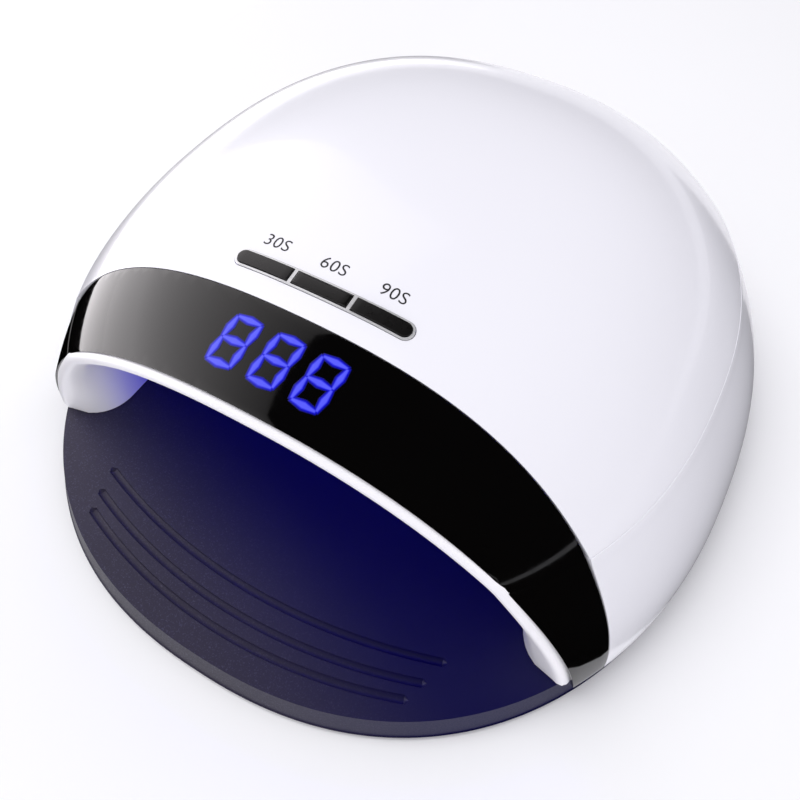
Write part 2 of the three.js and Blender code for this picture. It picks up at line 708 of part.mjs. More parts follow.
addPart("base_tray", makeTray(), "trayDark");
footSpots.forEach((spot, i) => addPart(`foot_${i + 1}`, makeFoot(spot), "rubber"));
magnetSpots.forEach((spot, i) => addPart(`tray_disc_${i + 1}`, makeTrayDisc(spot), "steel"));
addPart("top_shell", makeTopShell(), "white");
addPart("front_band", makeBand(), "blackGloss");
addPart("reflector", makeReflector(), "reflectorWhite");
addPart("bottom_frame", makeFrame(), "darkPlastic");
magnetSpots.forEach((spot, i) => addPart(`frame_magnet_${i + 1}`, makeFrameMagnet(spot), "steel"));
screwSpots.forEach((spot, i) => addPart(`screw_${i + 1}`, makeScrew(spot), "steel"));
addPart("button_bezel", makeBezel(), "chrome");
["button_30s", "button_60s", "button_90s"].forEach((name, i) => {
  addPart(name, makeButton(i), "blackGloss");
});
buttonSpots.forEach((_, i) => addPart(`tact_switch_${i + 1}`, makeSwitch(i), "darkPlastic"));
addPart("button_board", makeButtonBoard(), "board");
addPart("display_module", makeDisplay(), "display");
addPart("roof_led_board", makeRoofBoard(), "board");
addPart("left_led_board", makeSideBoard(-1), "board");
addPart("right_led_board", makeSideBoard(1), "board");
ledPlaces().forEach((place, i) => addPart(`led_${i + 1}`, makeLed(place), "lens"));
addPart("control_board", makeControlBoard(), "board");
addPart("dc_jack", makeJack(), "darkPlastic");

export default lamp;
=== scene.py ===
"""A dome-shaped UV curing lamp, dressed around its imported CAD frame.

A dark tray on rubber feet carries a white lift-off housing. The housing holds a
gloss black band with a lit three-digit display, three timer buttons in a plated
surround, and a white reflector with twelve UV lamps. Sizes are in metres.
"""

from __future__ import annotations

import logging
import math
from dataclasses import dataclass, field, replace
from enum import Enum
from typing import Callable, Iterable

import bmesh
import bpy
from mathutils import Matrix, Vector


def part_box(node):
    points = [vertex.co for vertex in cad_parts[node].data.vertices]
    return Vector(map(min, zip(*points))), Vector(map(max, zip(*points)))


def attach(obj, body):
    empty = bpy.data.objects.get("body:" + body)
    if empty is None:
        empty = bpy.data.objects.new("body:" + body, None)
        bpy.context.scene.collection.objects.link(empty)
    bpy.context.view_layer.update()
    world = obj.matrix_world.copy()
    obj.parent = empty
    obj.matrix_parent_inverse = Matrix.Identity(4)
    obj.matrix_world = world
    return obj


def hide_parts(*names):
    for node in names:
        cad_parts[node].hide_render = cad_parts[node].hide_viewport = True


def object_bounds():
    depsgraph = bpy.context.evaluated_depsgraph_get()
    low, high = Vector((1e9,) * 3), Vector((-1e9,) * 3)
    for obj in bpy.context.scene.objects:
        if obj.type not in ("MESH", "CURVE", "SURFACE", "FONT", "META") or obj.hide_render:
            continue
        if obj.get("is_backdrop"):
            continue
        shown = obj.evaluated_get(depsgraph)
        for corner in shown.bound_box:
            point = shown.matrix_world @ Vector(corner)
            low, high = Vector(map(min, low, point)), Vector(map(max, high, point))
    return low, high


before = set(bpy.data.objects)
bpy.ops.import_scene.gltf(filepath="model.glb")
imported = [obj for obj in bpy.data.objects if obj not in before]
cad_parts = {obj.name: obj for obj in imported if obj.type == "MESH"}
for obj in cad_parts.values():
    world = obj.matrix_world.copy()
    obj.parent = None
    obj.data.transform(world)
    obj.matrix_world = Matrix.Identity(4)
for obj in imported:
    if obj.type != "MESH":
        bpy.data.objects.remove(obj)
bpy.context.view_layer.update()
LOG = logging.getLogger("uv_curing_lamp")
MM = 0.001

Colour = tuple[float, float, float]
Shape = bmesh.types.BMesh
Piece = bpy.types.Object
Material = bpy.types.Material
Node = bpy.types.Node
Socket = bpy.types.NodeSocket


# ---------------------------------------------------------------- names and options


class Slot(Enum):
    """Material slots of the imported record."""

    SHELL = "white_shell"
    REFLECTOR = "reflector_white"
    BAND = "band_black"
    BUTTON = "button_black"
    TRAY = "tray_dark"
    TRIM = "chrome_trim"
    STEEL = "steel_parts"
    RUBBER = "rubber_feet"
    BOARD = "board_green"
    LENS = "led_lens"
    DISPLAY = "display_face"
    DARK = "dark_plastic"


class Keep(Enum):
    """Side of a leaning cut that stays."""

    FRONT = "front"
    BEHIND = "behind"


# ---------------------------------------------------------------- finishes


NOISE_LOW, NOISE_HIGH = 0.3, 0.7


@dataclass
class NodeSheet:
    """A material's node tree with short calls to add and join nodes.

    Args:
        name: The material's name.
    """

    name: str
    material: Material = field(init=False)
    shader: Node = field(init=False)
    coordinates: Node = field(init=False)

    def __post_init__(self) -> None:
        """Start from one principled shader and Object coordinates."""
        self.material = bpy.data.materials.new(self.name)
        self.material.use_nodes = True
        self.shader = self.material.node_tree.nodes["Principled BSDF"]
        self.coordinates = self.add("ShaderNodeTexCoord")

    def add(self, kind: str, **settings: object) -> Node:
        """Add a node and set its options.

        Args:
            kind: Blender's node type name.
            settings: Attributes of the node.
        """
        node = self.material.node_tree.nodes.new(kind)
        for key, value in settings.items():
            setattr(node, key, value)
        return node

    def put(self, values: dict[str, object], node: Node | None = None) -> None:
        """Set unlinked inputs by name, on the shader unless another node is given."""
        for key, value in values.items():
            (node or self.shader).inputs[key].default_value = value

    def join(self, source: Socket, target: Socket) -> None:
        """Link one socket to another."""
        self.material.node_tree.links.new(source, target)

    def noise(self, scale: float, detail: float = 2.0, stretch: Vector | None = None) -> Node:
        """Add a noise pattern on Object coordinates.

        Args:
            scale: Cells per metre.
            detail: Octaves of finer noise.
            stretch: Scale of the pattern along X, Y and Z.
        """
        node = self.add("ShaderNodeTexNoise")
        self.put({"Scale": scale, "Detail": detail}, node)
        if stretch is None:
            self.join(self.coordinates.outputs["Object"], node.inputs["Vector"])
        else:
            mapping = self.add("ShaderNodeMapping")
            self.put({"Scale": stretch}, mapping)
            self.join(self.coordinates.outputs["Object"], mapping.inputs["Vector"])
            self.join(mapping.outputs["Vector"], node.inputs["Vector"])
        return node

    def ramp(self, source: Socket, stops: Iterable[tuple[float, Colour]]) -> Socket:
        """Turn a value into a colour between named stops.

        Args:
            source: The value.
            stops: Place and colour of each stop, in order.
        """
        node = self.add("ShaderNodeValToRGB")
        elements = node.color_ramp.elements
        for index, (place, colour) in enumerate(stops):
            element = elements[index] if index < 2 else elements.new(place)
            element.position = place
            element.color = (*colour, 1.0)
        self.join(source, node.inputs["Fac"])
        return node.outputs["Color"]

    def spread(self, source: Socket, low: float, high: float) -> Socket:
        """Map the middle range of a noise value onto a low and a high value."""
        node = self.add("ShaderNodeMapRange")
        self.put({"From Min": NOISE_LOW, "From Max": NOISE_HIGH, "To Min": low, "To Max": high}, node)
        self.join(source, node.inputs["Value"])
        return node.outputs["Result"]

    def paint_glow_and_shade_inwards(self, front: Socket, inside: Colour, start: float, end: float,
                     aside: float = 0.0) -> Socket:
        """Paint glow and shade: blend a colour into another between two places along Y.

        Args:
            front: Colour in front of the start.
            inside: Painted glow and shade colour behind the end.
            start: Where the blend starts.
            end: Where it ends.
            aside: How much a step to the right counts as a step inwards, which deepens the painted shade
                towards the right.
        """
        depth = self.add("ShaderNodeVectorMath", operation="DOT_PRODUCT")
        depth.inputs[1].default_value = (aside, 1.0, 0.0)
        self.join(self.coordinates.outputs["Object"], depth.inputs[0])
        share = self.add("ShaderNodeMapRange", interpolation_type="SMOOTHSTEP")
        self.put({"From Min": start, "From Max": end}, share)
        self.join(depth.outputs["Value"], share.inputs["Value"])
        mix = self.add("ShaderNodeMix", data_type="RGBA")
        self.join(share.outputs["Result"], mix.inputs["Factor"])
        self.join(front, mix.inputs["A"])
        self.put({"B": (*inside, 1.0)}, mix)
        return mix.outputs["Result"]

    def feed(self, name: str, source: Socket) -> None:
        """Link a socket to an input of the shader."""
        self.join(source, self.shader.inputs[name])

    def two_tone(self, noise: Node, low: Colour, high: Colour) -> Socket:
        """A colour that wanders between two tones with a noise."""
        return self.ramp(noise.outputs["Fac"], [(NOISE_LOW, low), (NOISE_HIGH, high)])

    def vary(self, name: str, noise: Node, low: float, high: float) -> None:
        """Let an input of the shader wander between two values with a noise."""
        self.feed(name, self.spread(noise.outputs["Fac"], low, high))

    def bump(self, source: Socket, strength: float, depth: float) -> None:
        """Raise the surface by a value, as fine relief."""
        node = self.add("ShaderNodeBump")
        self.put({"Strength": strength, "Distance": depth}, node)
        self.join(source, node.inputs["Height"])
        self.join(node.outputs["Normal"], self.shader.inputs["Normal"])


def tint(colour: Colour, factor: float) -> Colour:
    """A colour made lighter or darker by a factor."""
    return (colour[0] * factor, colour[1] * factor, colour[2] * factor)


@dataclass(frozen=True)
class MouldedPlastic:
    """Moulded plastic with uneven gloss, faint colour drift and fine relief, with an optional painted glow
    and shade deep in the chamber.

    Args:
        name: The material's name.
        colour: Linear base colour.
        roughness: Middle roughness.
        drift: Share by which the colour varies over the part.
        relief: Bump strength of the moulding's skin.
        relief_scale: Cells per metre of that skin.
        coat: Weight of the clear top layer.
        gloss_spread: How far the roughness varies either way.
        inside: Painted colour of the violet lamp glow and shade that it takes on deep in the chamber.
        fade: Places along Y between which that painted glow and shade comes in.
    """

    name: str
    colour: Colour
    roughness: float
    drift: float = 0.02
    relief: float = 0.05
    relief_scale: float = 900.0
    coat: float = 0.0
    gloss_spread: float = 0.04
    inside: Colour | None = None
    fade: tuple[float, float] = (-72 * MM, -46 * MM)

    def material(self) -> Material:
        """Build the node material."""
        sheet = NodeSheet(self.name)
        fine = sheet.noise(self.relief_scale, 4.0)
        low, high = tint(self.colour, 1 - self.drift), tint(self.colour, 1 + self.drift)
        shown = sheet.two_tone(sheet.noise(14.0, 3.0), low, high)
        # Painted glow and shade: deep in the chamber the colour turns to the inside colour, which stands
        # in for the violet lamp light and the shade there.
        if self.inside:
            shown = sheet.paint_glow_and_shade_inwards(shown, self.inside, *self.fade)
        sheet.feed("Base Color", shown)
        smoothest = max(self.roughness - self.gloss_spread, 0.02)
        sheet.vary("Roughness", fine, smoothest, self.roughness + self.gloss_spread)
        sheet.bump(fine.outputs["Fac"], self.relief, 0.05 * MM)
        sheet.put({"Coat Weight": self.coat, "Coat Roughness": 0.04})
        return sheet.material


@dataclass(frozen=True)
class SpeckledPlastic:
    """Dark plastic with a fine pearl speckle, as on the tray, with painted violet glow and shade towards
    the chamber and the right.

    Args:
        name: The material's name.
        colour: Linear colour of the ground.
        speckle: Linear colour of the specks.
        inside: Linear colour deep in the chamber and to the right, painted violet lamp glow and shade.
        roughness: Middle roughness.
        fade: Places along Y between which the painted glow and shade comes in.
    """

    name: str
    colour: Colour
    speckle: Colour
    inside: Colour
    roughness: float
    fade: tuple[float, float] = (-118 * MM, -60 * MM)

    def material(self) -> Material:
        """Build the node material."""
        sheet = NodeSheet(self.name)
        grain = sheet.noise(2600.0, 2.0)
        ground = sheet.two_tone(sheet.noise(22.0, 3.0), tint(self.colour, 0.9), tint(self.colour, 1.1))
        specks = sheet.ramp(grain.outputs["Fac"], [(0.56, (0.0, 0.0, 0.0)), (0.74, (1.0, 1.0, 1.0))])
        mix = sheet.add("ShaderNodeMix", data_type="RGBA")
        sheet.put({"B": (*self.speckle, 1.0)}, mix)
        sheet.join(specks, mix.inputs["Factor"])
        sheet.join(ground, mix.inputs["A"])
        # Painted glow and shade: the tray turns deep violet towards the chamber and darker towards the
        # right, where less light falls.
        shown = sheet.paint_glow_and_shade_inwards(mix.outputs["Result"], self.inside, *self.fade, 0.45)
        sheet.put({"Specular IOR Level": 0.25})
        sheet.feed("Base Color", shown)
        sheet.vary("Roughness", grain, self.roughness + 0.06, self.roughness - 0.06)
        sheet.bump(grain.outputs["Fac"], 0.25, 0.04 * MM)
        return sheet.material


@dataclass(frozen=True)
class PlatedMetal:
    """Plated or turned metal with fine streaks in its gloss.

    Args:
        name: The material's name.
        colour: Linear colour of the metal.
        roughness: Middle roughness.
        streak: Scale of the streaks along X, Y and Z.
        metallic: Share of bare metal in the look.
    """

    name: str
    colour: Colour
    roughness: float
    streak: tuple[float, float, float] = (1.0, 12.0, 12.0)
    metallic: float = 1.0

    def material(self) -> Material:
        """Build the node material."""
        sheet = NodeSheet(self.name)
        lines = sheet.noise(160.0, 3.0, Vector(self.streak))
        sheet.feed("Base Color", sheet.two_tone(lines, tint(self.colour, 0.9), tint(self.colour, 1.05)))
        sheet.vary("Roughness", lines, self.roughness * 0.7, self.roughness * 1.3)
        sheet.bump(lines.outputs["Fac"], 0.06, 0.02 * MM)
        sheet.put({"Metallic": self.metallic})
        return sheet.material


@dataclass(frozen=True)
class CircuitBoard:
    """Solder mask over copper: straight tracks seen as a lighter relief.

    Args:
        name: The material's name.
        mask: Linear colour of the solder mask.
        copper: Linear colour over a track.
    """

    name: str
    mask: Colour
    copper: Colour

    def material(self) -> Material:
        """Build the node material."""
        sheet = NodeSheet(self.name)
        tracks = sheet.add("ShaderNodeTexBrick")
        colours = {"Color1": self.mask, "Color2": tint(self.mask, 0.8), "Mortar": self.copper}
        sheet.put({key: (*colour, 1.0) for key, colour in colours.items()}, tracks)
        sheet.put({"Scale": 210.0, "Mortar Size": 0.07}, tracks)
        sheet.join(sheet.coordinates.outputs["Object"], tracks.inputs["Vector"])
        sheet.feed("Base Color", tracks.outputs["Color"])
        sheet.bump(tracks.outputs["Fac"], 0.3, 0.03 * MM)
        sheet.vary("Roughness", sheet.noise(700.0), 0.3, 0.5)
        return sheet.material


@dataclass(frozen=True)
class LitSegment:
    """Light that is pale along a segment's middle and deep at its edge.

    Args:
        name: The material's name.
        halo: Linear colour at the outer edge.
        edge: Linear colour at the segment's edge.
        core: Linear colour along the middle.
        strength: Emission strength.
        attribute: Point attribute that is 0 at the edge and 1 in the middle.
    """

    name: str
    halo: Colour
    edge: Colour
    core: Colour
    strength: float
    attribute: str = "core"

    def material(self) -> Material:
        """Build the node material."""
        sheet = NodeSheet(self.name)
        reader = sheet.add("ShaderNodeAttribute", attribute_name=self.attribute)
        stops = [(0.0, self.halo), (1.0, self.core), (0.5, self.edge)]
        sheet.feed("Emission Color", sheet.ramp(reader.outputs["Fac"], stops))
        flicker = sheet.noise(600.0)
        sheet.vary("Emission Strength", flicker, self.strength * 0.94, self.strength * 1.06)
        sheet.put({"Base Color": (0.0, 0.0, 0.02, 1.0), "Roughness": 0.3})
        return sheet.material


@dataclass(frozen=True)
class LampLens:
    """Clear lamp lens over a lit violet chip.

    Args:
        name: The material's name.
        colour: Linear colour of the lens.
        glow: Linear colour of the light.
        strength: Emission strength.
    """

    name: str
    colour: Colour
    glow: Colour
    strength: float

    def material(self) -> Material:
        """Build the node material."""
        sheet = NodeSheet(self.name)
        haze = sheet.noise(300.0, 3.0)
        sheet.feed("Base Color", sheet.two_tone(haze, tint(self.colour, 0.9), self.colour))
        sheet.vary("Emission Strength", haze, self.strength * 0.8, self.strength * 1.2)
        sheet.put({"Emission Color": (*self.glow, 1.0), "Roughness": 0.08})
        return sheet.material


FINISHES: dict[Slot, Material] = {}


def mix_finishes() -> None:
    """Make every finish once, one for each material slot of the record."""
    recipes = {
        Slot.SHELL: MouldedPlastic(
            "white_shell", (0.87, 0.865, 0.915), 0.24, drift=0.002, relief=0.002,
            relief_scale=1500.0, coat=0.3, gloss_spread=0.008,
        ),
        # The reflector's inside colour is painted violet lamp glow and shade, not a tint of the white
        # plastic.
        Slot.REFLECTOR: MouldedPlastic(
            "reflector_white", (0.93, 0.92, 0.95), 0.35, drift=0.003, relief=0.002,
            relief_scale=1500.0, gloss_spread=0.01, inside=(0.05, 0.03, 0.8),
        ),
        Slot.BAND: MouldedPlastic(
            "band_black", (0.0016, 0.0014, 0.0014), 0.06, drift=0.1, relief=0.008,
            relief_scale=500.0, gloss_spread=0.02,
        ),
        Slot.BUTTON: MouldedPlastic(
            "button_black", (0.005, 0.0045, 0.0045), 0.3, drift=0.1, relief=0.03,
        ),
        # The tray's inside colour is painted violet lamp glow and shade, not the tray's own colour.
        Slot.TRAY: SpeckledPlastic(
            "tray_dark", (0.026, 0.022, 0.044), speckle=(0.055, 0.05, 0.09),
            inside=(0.0015, 0.0006, 0.05), roughness=0.44,
        ),
        Slot.TRIM: PlatedMetal("chrome_trim", (0.7, 0.7, 0.71), 0.2, metallic=0.35),
        Slot.STEEL: PlatedMetal("steel_parts", (0.5, 0.5, 0.52), 0.34),
        Slot.RUBBER: MouldedPlastic(
            "rubber_feet", (0.012, 0.012, 0.013), 0.82, drift=0.12, relief=0.5, relief_scale=1600.0,
        ),
        Slot.BOARD: CircuitBoard("board_green", mask=(0.012, 0.1, 0.038), copper=(0.05, 0.2, 0.07)),
        Slot.LENS: LampLens("led_lens", (0.6, 0.62, 0.9), glow=(0.12, 0.05, 1.0), strength=6.0),
        Slot.DISPLAY: MouldedPlastic("display_face", (0.004, 0.004, 0.01), 0.3),
        Slot.DARK: MouldedPlastic(
            "dark_plastic", (0.012, 0.012, 0.014), 0.5, drift=0.1, relief=0.25, relief_scale=1400.0,
        ),
    }
    for slot, recipe in recipes.items():
        FINISHES[slot] = recipe.material()


# ---------------------------------------------------------------- mesh work


def finish_piece(name: str, bm: Shape, material: Material, sharp: float = 34.0) -> Piece:
    """Turn a bmesh into a smooth-shaded object with hard edges past an angle.

    Args:
        name: The object's name.
        bm: The shape; it is freed.
        material: Its finish.
        sharp: Angle in degrees past which an edge is hard.
    """
    mesh = bpy.data.meshes.new(name)
    bm.to_mesh(mesh)
    bm.free()
    piece = bpy.data.objects.new(name, mesh)
    piece.data.materials.append(material)
    bpy.context.scene.collection.objects.link(piece)
    shade(piece, sharp)
    return piece


def shade(piece: Piece, sharp: float = 34.0) -> None:
    """Smooth-shade a piece and keep edges past an angle hard."""
    bm = bmesh.new()
    bm.from_mesh(piece.data)
    limit = math.radians(sharp)
    for face in bm.faces:
        face.smooth = True
    for edge in bm.edges:
        edge.smooth = len(edge.link_faces) != 2 or edge.calc_face_angle() < limit
    bm.to_mesh(piece.data)
    bm.free()


def settle(piece: Piece, sharp: float = 34.0) -> None:
    """Bake a piece's modifiers into its mesh and shade it again."""
    graph = bpy.context.evaluated_depsgraph_get()
    graph.update()
    mesh = bpy.data.meshes.new_from_object(piece.evaluated_get(graph))
    old = piece.data
    piece.modifiers.clear()
    piece.data = mesh
    mesh.name = piece.name
    bpy.data.meshes.remove(old)
    shade(piece, sharp)


def carve(piece: Piece, tool: Shape) -> None:
    """Cut a second solid, which is freed, out of a piece and bake the result."""
    mesh = bpy.data.meshes.new("tool")
    tool.to_mesh(mesh)
    tool.free()
    cutter = bpy.data.objects.new("tool", mesh)
    bpy.context.scene.collection.objects.link(cutter)
    step = piece.modifiers.new("carve", "BOOLEAN")
    step.operation = "DIFFERENCE"
    step.solver = "EXACT"
    step.object = cutter
    settle(piece)
    bpy.data.objects.remove(cutter)
    bpy.data.meshes.remove(mesh)


def lathe(profile: list[tuple[float, float]], steps: int) -> Shape:
    """Spin a profile of radius and height round the Z axis into a closed skin.

    Args:
        profile: Radius and height of each point, from bottom to top.
        steps: Divisions round the axis.
    """
    bm = bmesh.new()
    points = [bm.verts.new((radius, 0.0, height)) for radius, height in profile]
    edges = [bm.edges.new(pair) for pair in zip(points, points[1:])]
    bmesh.ops.spin(bm, geom=points + edges, cent=(0, 0, 0), axis=(0, 0, 1),
                   angle=math.tau, steps=steps, use_merge=True)
    bmesh.ops.remove_doubles(bm, verts=bm.verts, dist=1e-7)
    bmesh.ops.recalc_face_normals(bm, faces=bm.faces)
    return bm


def block(size: tuple[float, float, float], centre: Iterable[float]) -> Shape:
    """A box of a size about a centre."""
    bm = bmesh.new()
    place = Matrix.Translation(Vector(centre)) @ Matrix.Diagonal((*size, 1.0))
    bmesh.ops.create_cube(bm, size=1.0, matrix=place)
    return bm


def rod(radius: float, length: float, place: Matrix, sides: int = 48) -> Shape:
    """A capped cylinder about its middle, along its own Z axis."""
    bm = bmesh.new()
    bmesh.ops.create_cone(bm, cap_ends=True, segments=sides, radius1=radius, radius2=radius,
                          depth=length, matrix=place)
    return bm


def move(bm: Shape, step: Iterable[float]) -> None:
    """Shift a whole shape."""
    bmesh.ops.translate(bm, verts=bm.verts, vec=tuple(step))


def set_down(bm: Shape, place: Matrix) -> None:
    """Turn and shift a whole shape by a matrix."""
    bmesh.ops.transform(bm, matrix=place, verts=bm.verts)


def melt(piece: Piece) -> Shape:
    """Take a helper piece back as a bare shape and remove the piece."""
    bm = bmesh.new()
    bm.from_mesh(piece.data)
    bpy.data.objects.remove(piece)
    return bm


def merge(target: Shape, other: Shape) -> None:
    """Copy a second shape into the first and free it."""
    mesh = bpy.data.meshes.new("merge")
    other.to_mesh(mesh)
    other.free()
    target.from_mesh(mesh)
    bpy.data.meshes.remove(mesh)


def round_edges(bm: Shape, chosen: Callable[[bmesh.types.BMEdge], bool], radius: float,
                segments: int = 3) -> None:
    """Round the chosen edges of a shape.

    Args:
        bm: The shape.
        chosen: Says which edges are rounded.
        radius: Width of the rounding.
        segments: Its divisions.
    """
    edges = [edge for edge in bm.edges if chosen(edge)]
    bmesh.ops.bevel(bm, geom=edges, offset=radius, segments=segments, profile=0.5,
                    affect="EDGES", clamp_overlap=True, material=-1)


def is_corner(edge: bmesh.types.BMEdge) -> bool:
    """Whether an edge turns by more than about 50 degrees."""
    return len(edge.link_faces) == 2 and edge.calc_face_angle() > 0.9


def slice_along_x(bm: Shape, low: float, high: float, pitch: float) -> None:
    """Cut a flat-built shape across X at a pitch, so that it can follow a curve."""
    count = max(int((high - low) / pitch), 1)
    for index in range(1, count):
        place = (low + (high - low) * index / count, 0.0, 0.0)
        geometry = bm.verts[:] + bm.edges[:] + bm.faces[:]
        bmesh.ops.bisect_plane(bm, geom=geometry, dist=1e-7, plane_co=place, plane_no=(1, 0, 0))


# ---------------------------------------------------------------- dome


@dataclass(frozen=True)
class OvalDome:
    """Rounded ovals stacked upwards, drawn in and moved forward with height.

    Args:
        half_width: Half of the oval along X at the bottom.
        half_depth: Half of the oval along Y at the bottom.
        bottom: Height of the lower rim.
        foot: Height at which the dome's curve starts.
        crease: Height of the edge between skirt and cap.
        top: Height of the cap.
        lean: How far the cap's centre lies in front of the rim's centre.
        crease_scale: Size of the oval at the crease, as a share of the rim.
        bulge: Exponent of the skirt's curve.
        cap_power: First exponent of the cap's curve.
        cap_root: Second exponent of the cap's curve.
        oval_power: Exponent of the oval outline.
        ridge: How far the crease stands out.
        ridge_reach: Height over which that fades.
    """

    half_width: float
    half_depth: float
    bottom: float
    foot: float
    crease: float
    top: float
    lean: float
    crease_scale: float = 0.824
    bulge: float = 1.78
    cap_power: float = 1.1
    cap_root: float = 3.2
    oval_power: float = 2.27
    ridge: float = 1.6 * MM
    ridge_reach: float = 8.0 * MM

    def scale(self, z: float) -> float:
        """Share of the bottom oval at a height."""
        if z <= self.crease:
            rise = max(z - self.foot, 0.0) / (self.crease - self.foot)
            base = 1 - (1 - self.crease_scale) * rise ** self.bulge
        else:
            rise = min((z - self.crease) / (self.top - self.crease), 1.0)
            base = self.crease_scale * (1 - rise ** self.cap_power) ** (1 / self.cap_root)
        fade = math.exp(-abs(z - self.crease) / self.ridge_reach)
        return base + base * fade * self.ridge / self.half_width

    def centre(self, z: float) -> float:
        """Y of the oval's centre at a height."""
        return -self.lean * (z - self.foot) / (self.top - self.foot)

    def shrunk(self, inset: float) -> OvalDome:
        """The same dome, smaller by an inset on every side."""
        return replace(self, half_width=self.half_width - inset, half_depth=self.half_depth - inset,
                       top=self.top - inset)

    def oval(self, angle: float, inset: float = 0.0) -> Vector:
        """Point of the bottom oval at an angle from +X, about its own centre."""
        bend = 2 / self.oval_power
        across, along = math.cos(angle), math.sin(angle)
        x = math.copysign(abs(across) ** bend, across) * (self.half_width - inset)
        y = math.copysign(abs(along) ** bend, along) * (self.half_depth - inset)
        return Vector((x, y, 0.0))

    def warp(self, bm: Shape, inset: float = 0.0) -> None:
        """Turn a lathe of unit radius into stacked ovals."""
        for vert in bm.verts:
            radius = math.hypot(vert.co.x, vert.co.y)
            spot = self.oval(math.atan2(vert.co.y, vert.co.x), inset) * radius
            vert.co = (spot.x, spot.y + self.centre(vert.co.z), vert.co.z)

    def heights(self, skirt_steps: int = 16, cap_steps: int = 44) -> list[float]:
        """Heights of the levels from the rim to the top."""
        step = (self.crease - self.bottom) / skirt_steps
        levels = [self.bottom + step * index for index in range(skirt_steps)]
        for index in range(cap_steps + 1):
            share = math.cos(index / cap_steps * math.pi / 2)
            rise = (1 - share ** self.cap_root) ** (1 / self.cap_power)
            levels.append(self.crease + (self.top - self.crease) * rise)
        return levels

    def skin(self, steps: int = 192, crease_round: float = 0.5 * MM) -> Shape:
        """The dome's outer skin, open at the bottom, with its crease softened."""
        levels = self.heights()
        profile = [(self.scale(z), z) for z in levels[:-1]] + [(0.0, levels[-1])]
        bm = lathe(profile, steps)
        self.warp(bm)
        round_edges(bm, self.on_crease, crease_round)
        return bm

    def on_crease(self, edge: bmesh.types.BMEdge) -> bool:
        """Whether an edge lies along the crease."""
        return all(abs(vert.co.z - self.crease) < 1e-6 for vert in edge.verts)

    def solid(self, low: float, steps: int = 192) -> Shape:
        """The dome as a closed solid from a height below its rim."""
        levels = [z for z in self.heights() if z > low]
        profile = [(0.0, low), (self.scale(low), low)]
        profile += [(self.scale(z), z) for z in levels[:-1]] + [(0.0, levels[-1])]
        bm = lathe(profile, steps)
        self.warp(bm)
        return bm

    def height_at(self, x: float, y: float) -> float:
        """Height of the outer surface above a place inside the rim."""
        low, high = self.bottom, self.top
        for _ in range(40):
            z = (low + high) / 2
            scale = max(self.scale(z), 1e-9)
            across = abs(x) / (self.half_width * scale)
            along = abs(y - self.centre(z)) / (self.half_depth * scale)
            if across ** self.oval_power + along ** self.oval_power < 1:
                low = z
            else:
                high = z
        return low

    def normal_at(self, x: float, y: float) -> Vector:
        """Outward direction of the surface above a place."""
        reach = 0.4 * MM
        slope_x = (self.height_at(x + reach, y) - self.height_at(x - reach, y)) / (2 * reach)
        slope_y = (self.height_at(x, y + reach) - self.height_at(x, y - reach)) / (2 * reach)
        return Vector((-slope_x, -slope_y, 1.0)).normalized()

    def drape(self, bm: Shape, y: float) -> None:
        """Lay a flat-built shape on the dome: X along the row, Y up the slope, Z outward.

        Args:
            bm: The flat shape about its row's middle.
            y: Place of the row's middle line.
        """
        slope = self.normal_at(0.0, y).z
        for vert in bm.verts:
            x, along, out = vert.co
            place_y = y + along * slope
            foot = Vector((x, place_y, self.height_at(x, place_y)))
            vert.co = foot + self.normal_at(x, place_y) * out


@dataclass(frozen=True)
class LeaningCut:
    """An upright plane across the lamp that leans with height.

    Args:
        y: Place at the table.
        lean: Change of Y with height.
    """

    y: float
    lean: float

    def shifted(self, distance: float) -> LeaningCut:
        """The same plane moved back by a distance."""
        return replace(self, y=self.y + distance)

    def at(self, z: float) -> float:
        """Y of the plane at a height."""
        return self.y + self.lean * z

    def trim(self, bm: Shape, keep: Keep) -> None:
        """Cut a shape and keep what lies in front of the plane or behind it."""
        geometry = bm.verts[:] + bm.edges[:] + bm.faces[:]
        bmesh.ops.bisect_plane(
            bm, geom=geometry, dist=1e-6, plane_co=(0, self.y, 0), plane_no=(0, 1, -self.lean),
            clear_outer=keep is Keep.FRONT, clear_inner=keep is Keep.BEHIND,
        )

    def rear_block(self, low: float) -> Shape:
        """A tall block that fills everything behind the plane and above a height."""
        reach = 0.4
        bm = block((reach, reach, reach), (0.0, self.y + reach / 2, low + reach / 2))
        for vert in bm.verts:
            vert.co.y += self.lean * vert.co.z if vert.co.y < self.y + reach / 2 else 0.0
        return bm


# ---------------------------------------------------------------- places from the frame


def node_centre(name: str) -> Vector:
    """Middle of a CAD node's box."""
    low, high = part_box(name)
    return (low + high) / 2


def node_size(name: str) -> Vector:
    """Size of a CAD node's box."""
    low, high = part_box(name)
    return high - low


@dataclass(frozen=True)
class Layout:
    """The lamp's main places, worked out from the frame.

    Args:
        dome: Outer surface of the housing.
        opening: Front plane of band and reflector lip.
        seam: Plane where band and shell meet.
        tray_top: Height of the tray's upper face.
        button_y: Middle line of the button row.
        display_y: Middle line of the digits.
    """

    dome: OvalDome
    opening: LeaningCut
    seam: LeaningCut
    tray_top: float
    button_y: float
    display_y: float


TRAY_REACH = 43.9 * MM
BAND_WIDTH = 7.0 * MM
FOOT_HEIGHT = 2.2 * MM
CREASE_HEIGHT = 48 * MM
CAP_LEAN = 8 * MM
OPENING_LEAN = -0.077
SEAM_LEAN = 0.108
ROW_SHIFT = 0.25 * MM
DIGIT_SHIFT = 1.4 * MM


